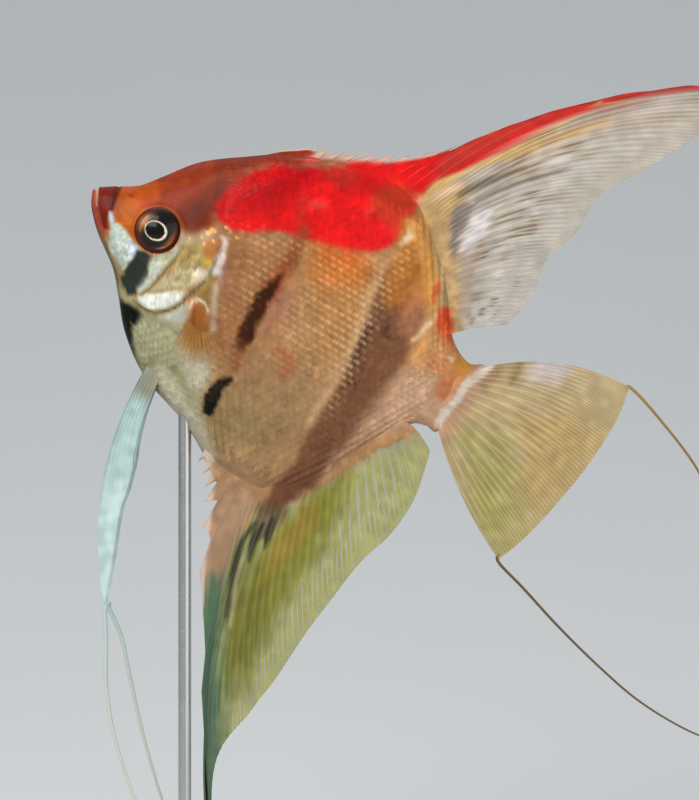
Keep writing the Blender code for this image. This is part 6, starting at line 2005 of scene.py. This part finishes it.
def lathe(profile, middle, steps):
    """Points and faces of a solid turned from (radius, height) points, in mm, top point to bottom point."""
    turn = np.linspace(0, 2 * math.pi, steps, endpoint=False)
    profile = np.array(profile)
    rings = np.stack([
        middle[0] + profile[1:-1, :1] * np.cos(turn)[None], middle[1] + profile[1:-1, :1] * np.sin(turn)[None],
        np.repeat(profile[1:-1, 1:], steps, axis=1)], axis=-1)
    return capped_rings(rings, (*middle, profile[0, 1]), (*middle, profile[-1, 1]))


def lacquer_material(stand):
    """Dark stained wood under lacquer: long grain, pores and a soft clear coat."""
    material, tree, shader = new_material("lacquered_wood")
    place = stretched_place(tree, (3.0, 60.0, 60.0))
    grain = noise_node(tree, place, 9.0, 6.0)
    pores = noise_node(tree, place, 60.0, 2.0)
    ramp = add_node(tree, "ShaderNodeValToRGB", {"Fac": grain})
    dark = to_linear(np.array(stand.lacquer))
    for element, position, share in zip(ramp.color_ramp.elements, (0.35, 0.68), (0.55, 1.7)):
        element.position = position
        element.color = (*(dark * share), 1.0)
    feed(tree, shader, {
        "Base Color": ramp.outputs["Color"], "Roughness": plus(tree, times(tree, grain, 0.25), 0.25),
        "Normal": bump_node(tree, pores, 0.25, 0.0001), "Coat Weight": 0.6, "Coat Roughness": 0.15,
    })
    return material


def steel_material(stand):
    """Turned steel: fine rings of wear in the roughness and a faint bump round the rod."""
    material, tree, shader = new_material("turned_steel")
    rings = noise_node(tree, stretched_place(tree, (20.0, 20.0, 900.0)), 4.0, 3.0)
    smudge = noise_node(tree, object_place(tree), 160.0, 3.0)
    steel = to_linear(np.array(stand.steel))
    wear = plus(tree, times(tree, rings, 0.18), times(tree, smudge, 0.14))
    feed(tree, shader, {
        "Base Color": colour_mix(tree, smudge, (*(steel * 0.82), 1.0), (*steel, 1.0)),
        "Roughness": plus(tree, wear, 0.08), "Normal": bump_node(tree, rings, 0.2, 0.00003), "Metallic": 1.0,
    })
    return material


def base_shape(stand, foot):
    """A slab in the base's box with round corners and a rounded top rim. Its top fans out from the foot."""
    low, high = np.array(BASE_LOW) / MM, np.array(BASE_HIGH) / MM
    size, corner, rim = (high - low) / 2, stand.corner, stand.chamfer
    turn = np.radians(np.arange(0, 90, 90 / 16))
    outline = []
    for quarter in range(4):
        cx = (size[0] - corner) * (1 if quarter in (0, 3) else -1)
        cy = (size[1] - corner) * (1 if quarter in (0, 1) else -1)
        angles = np.concatenate([turn, [math.pi / 2]]) + quarter * math.pi / 2
        outline += [(cx, cy, a) for a in angles]
    cx, cy, angle = np.array(outline).T
    levels = [(UNDER_RIM, low[2]), (0.0, low[2] + UNDER_RIM), (0.0, high[2] - rim)]
    for a in np.radians((22.5, 45, 67.5, 90)):
        levels.append((rim * (1 - math.cos(a)), high[2] - rim * (1 - math.sin(a))))
    rings = []
    for inset, height in levels:
        radius = corner - inset
        level = [cx + radius * np.cos(angle), cy + radius * np.sin(angle), np.full(len(cx), height)]
        rings.append(np.stack(level, axis=-1))
    return capped_rings(np.array(rings), (0.0, 0.0, low[2]), (foot, 0.0, high[2]))


def rod_shape(foot):
    """A rod with a round top, a cove at its lower end and a small round foot, set a little into the base."""
    top, bottom = ROD_HIGH.z / MM, BASE_HIGH.z / MM - ROD_SET_IN
    foot_radius = (ROD_HIGH.x - ROD_LOW.x) / 2 / MM
    dome = [
        (ROD_RADIUS * math.sin(a), top - ROD_RADIUS + ROD_RADIUS * math.cos(a))
        for a in np.radians(np.arange(0, 91, 15))]
    sweep = [
        (ROD_RADIUS + COVE * (1 - math.cos(a)), bottom + 1.3 + COVE * (1 - math.sin(a)))
        for a in np.radians(np.arange(0, 91, 10))]
    edge = [
        (foot_radius - 0.7, bottom + 1.2), (foot_radius - 0.25, bottom + 1.05), (foot_radius, bottom + 0.7),
        (foot_radius, bottom + 0.15), (foot_radius - 0.1, bottom), (0.0, bottom)]
    return lathe(dome + sweep + edge, (foot, 0.0), ROD_STEPS)


class ANGELFISH_OT_stand(Operator):
    """Build the lacquered base and the steel rod"""

    bl_idname = "angelfish.stand"
    bl_label = "Stand"

    def execute(self, context):
        stand = settings().stand
        foot = (ROD_LOW.x + ROD_HIGH.x) / 2 / MM
        base = new_mesh_object("display_base", *base_shape(stand, foot), world=False)
        base.data.set_sharp_from_angle(angle=BASE_SHARP)
        settle(base, lacquer_material(stand), ["stand_base"])
        rod = new_mesh_object("display_rod", *rod_shape(foot), world=False)
        settle(rod, steel_material(stand), ["stand_rod"])
        return {"FINISHED"}


def soft_light(name, power, size, place, colour=(1.0, 1.0, 1.0)):
    """A rectangular light that faces the fish's middle."""
    light = bpy.data.lights.new(name, "AREA")
    light.energy = power
    light.shape = "RECTANGLE"
    light.size, light.size_y = size
    light.color = colour
    obj = link_object(name, light)
    obj.location = place
    direction = np.array(LIT_MIDDLE) - np.array(place)
    yaw = math.atan2(direction[1], direction[0]) - math.pi / 2
    pitch = math.atan2(direction[2], math.hypot(direction[0], direction[1]))
    obj.rotation_euler = (math.pi / 2 + pitch, 0.0, yaw)


def paper_material(floor):
    """Pale paper, unseen from behind, so that the model also shows from the backdrop's far side."""
    paper, tree, shader = new_material("studio_paper")
    cloud = noise_node(tree, object_place(tree), 6.0, 3.0)
    pale = to_linear(np.array(floor))
    feed(tree, shader, {
        "Base Color": colour_mix(tree, cloud, (*(pale * 0.97), 1.0), (*pale, 1.0)), "Roughness": 0.85})
    back = tree.nodes.new("ShaderNodeNewGeometry").outputs["Backfacing"]
    unseen = tree.nodes.new("ShaderNodeBsdfTransparent").outputs["BSDF"]
    facing = add_node(tree, "ShaderNodeMixShader", {"Fac": back, 1: shader.outputs["BSDF"], 2: unseen})
    feed(tree, tree.nodes["Material Output"], {"Surface": facing.outputs["Shader"]})
    return paper


def backdrop(material):
    """A floor that curves up into a wall behind the model."""
    half, near, back, curve, tall = BACKDROP
    profile = [(near, 0.0), (back, 0.0)]
    for a in np.radians(np.arange(3, 91, 3)):
        profile.append((back + curve * math.sin(a), curve * (1 - math.cos(a))))
    profile.append((back + curve, tall))
    points = [(x, y, z) for y, z in profile for x in (-half, half)]
    faces = [(2 * i, 2 * i + 1, 2 * i + 3, 2 * i + 2) for i in range(len(profile) - 1)]
    mesh = bpy.data.meshes.new("studio_floor")
    mesh.from_pydata(points, [], faces)
    mesh.shade_smooth()
    mesh.materials.append(material)
    return link_object("studio_floor", mesh)


class ANGELFISH_OT_studio(Operator):
    """Build the pale floor, its curved backdrop, the lights and the camera"""

    bl_idname = "angelfish.studio"
    bl_label = "Studio"

    def execute(self, context):
        stand, scene = settings().stand, bpy.context.scene
        backdrop(paper_material(stand.floor))
        soft_light("key_light", stand.key_power, (0.5, 0.4), (-0.30, -0.50, 0.52), (1.0, 0.985, 0.96))
        soft_light("fill_light", stand.fill_power, (0.7, 0.6), (0.55, -0.55, 0.20), (0.95, 0.975, 1.0))
        soft_light("top_light", TOP_POWER, (0.6, 0.4), (0.05, 0.12, 0.75))
        scene.world = bpy.data.worlds.new("studio_air")
        scene.world.use_nodes = True
        air = scene.world.node_tree
        feed(air, air.nodes["Background"], {"Color": (0.80, 0.83, 0.86, 1.0), "Strength": 0.62})
        scene.view_settings.view_transform = "Standard"
        camera = bpy.data.cameras.new("main_camera")
        camera.sensor_width = 36.0
        camera.lens = camera.sensor_width * stand.camera_distance / SEEN_WIDTH
        camera.clip_start, camera.clip_end = 0.01, 20.0
        scene.camera = link_object("main_camera", camera)
        scene.camera.location = (CAMERA_X, -stand.camera_distance, CAMERA_Z)
        scene.camera.rotation_euler = (math.pi / 2, 0.0, 0.0)
        return {"FINISHED"}


OPERATORS = (
    ANGELFISH_OT_studio, ANGELFISH_OT_skin, ANGELFISH_OT_scales, ANGELFISH_OT_eyes, ANGELFISH_OT_dorsal_fin,
    ANGELFISH_OT_anal_fin, ANGELFISH_OT_tail_fin, ANGELFISH_OT_pelvic_fins, ANGELFISH_OT_pectoral_fins,
    ANGELFISH_OT_stand,
)


class ANGELFISH_PT_pieces(Panel):
    """Lists the model's pieces"""

    bl_label = "Angelfish"
    bl_space_type = "VIEW_3D"
    bl_region_type = "UI"
    bl_category = "Angelfish"

    def draw(self, context):
        for operator in OPERATORS:
            self.layout.operator(operator.bl_idname)


CLASSES = (
    AngelfishMarkings, AngelfishForm, AngelfishScales, AngelfishFins, AngelfishEyes, AngelfishStand,
    AngelfishSettings,
    *OPERATORS, ANGELFISH_PT_pieces,
)


def register():
    for cls in CLASSES:
        bpy.utils.register_class(cls)
    bpy.types.Scene.angelfish = PointerProperty(type=AngelfishSettings)


def unregister():
    del bpy.types.Scene.angelfish
    for cls in reversed(CLASSES):
        bpy.utils.unregister_class(cls)


def main():
    register()
    for operator in OPERATORS:
        group, name = operator.bl_idname.split(".")
        getattr(getattr(bpy.ops, group), name)()


if __name__ == "__main__":
    main()
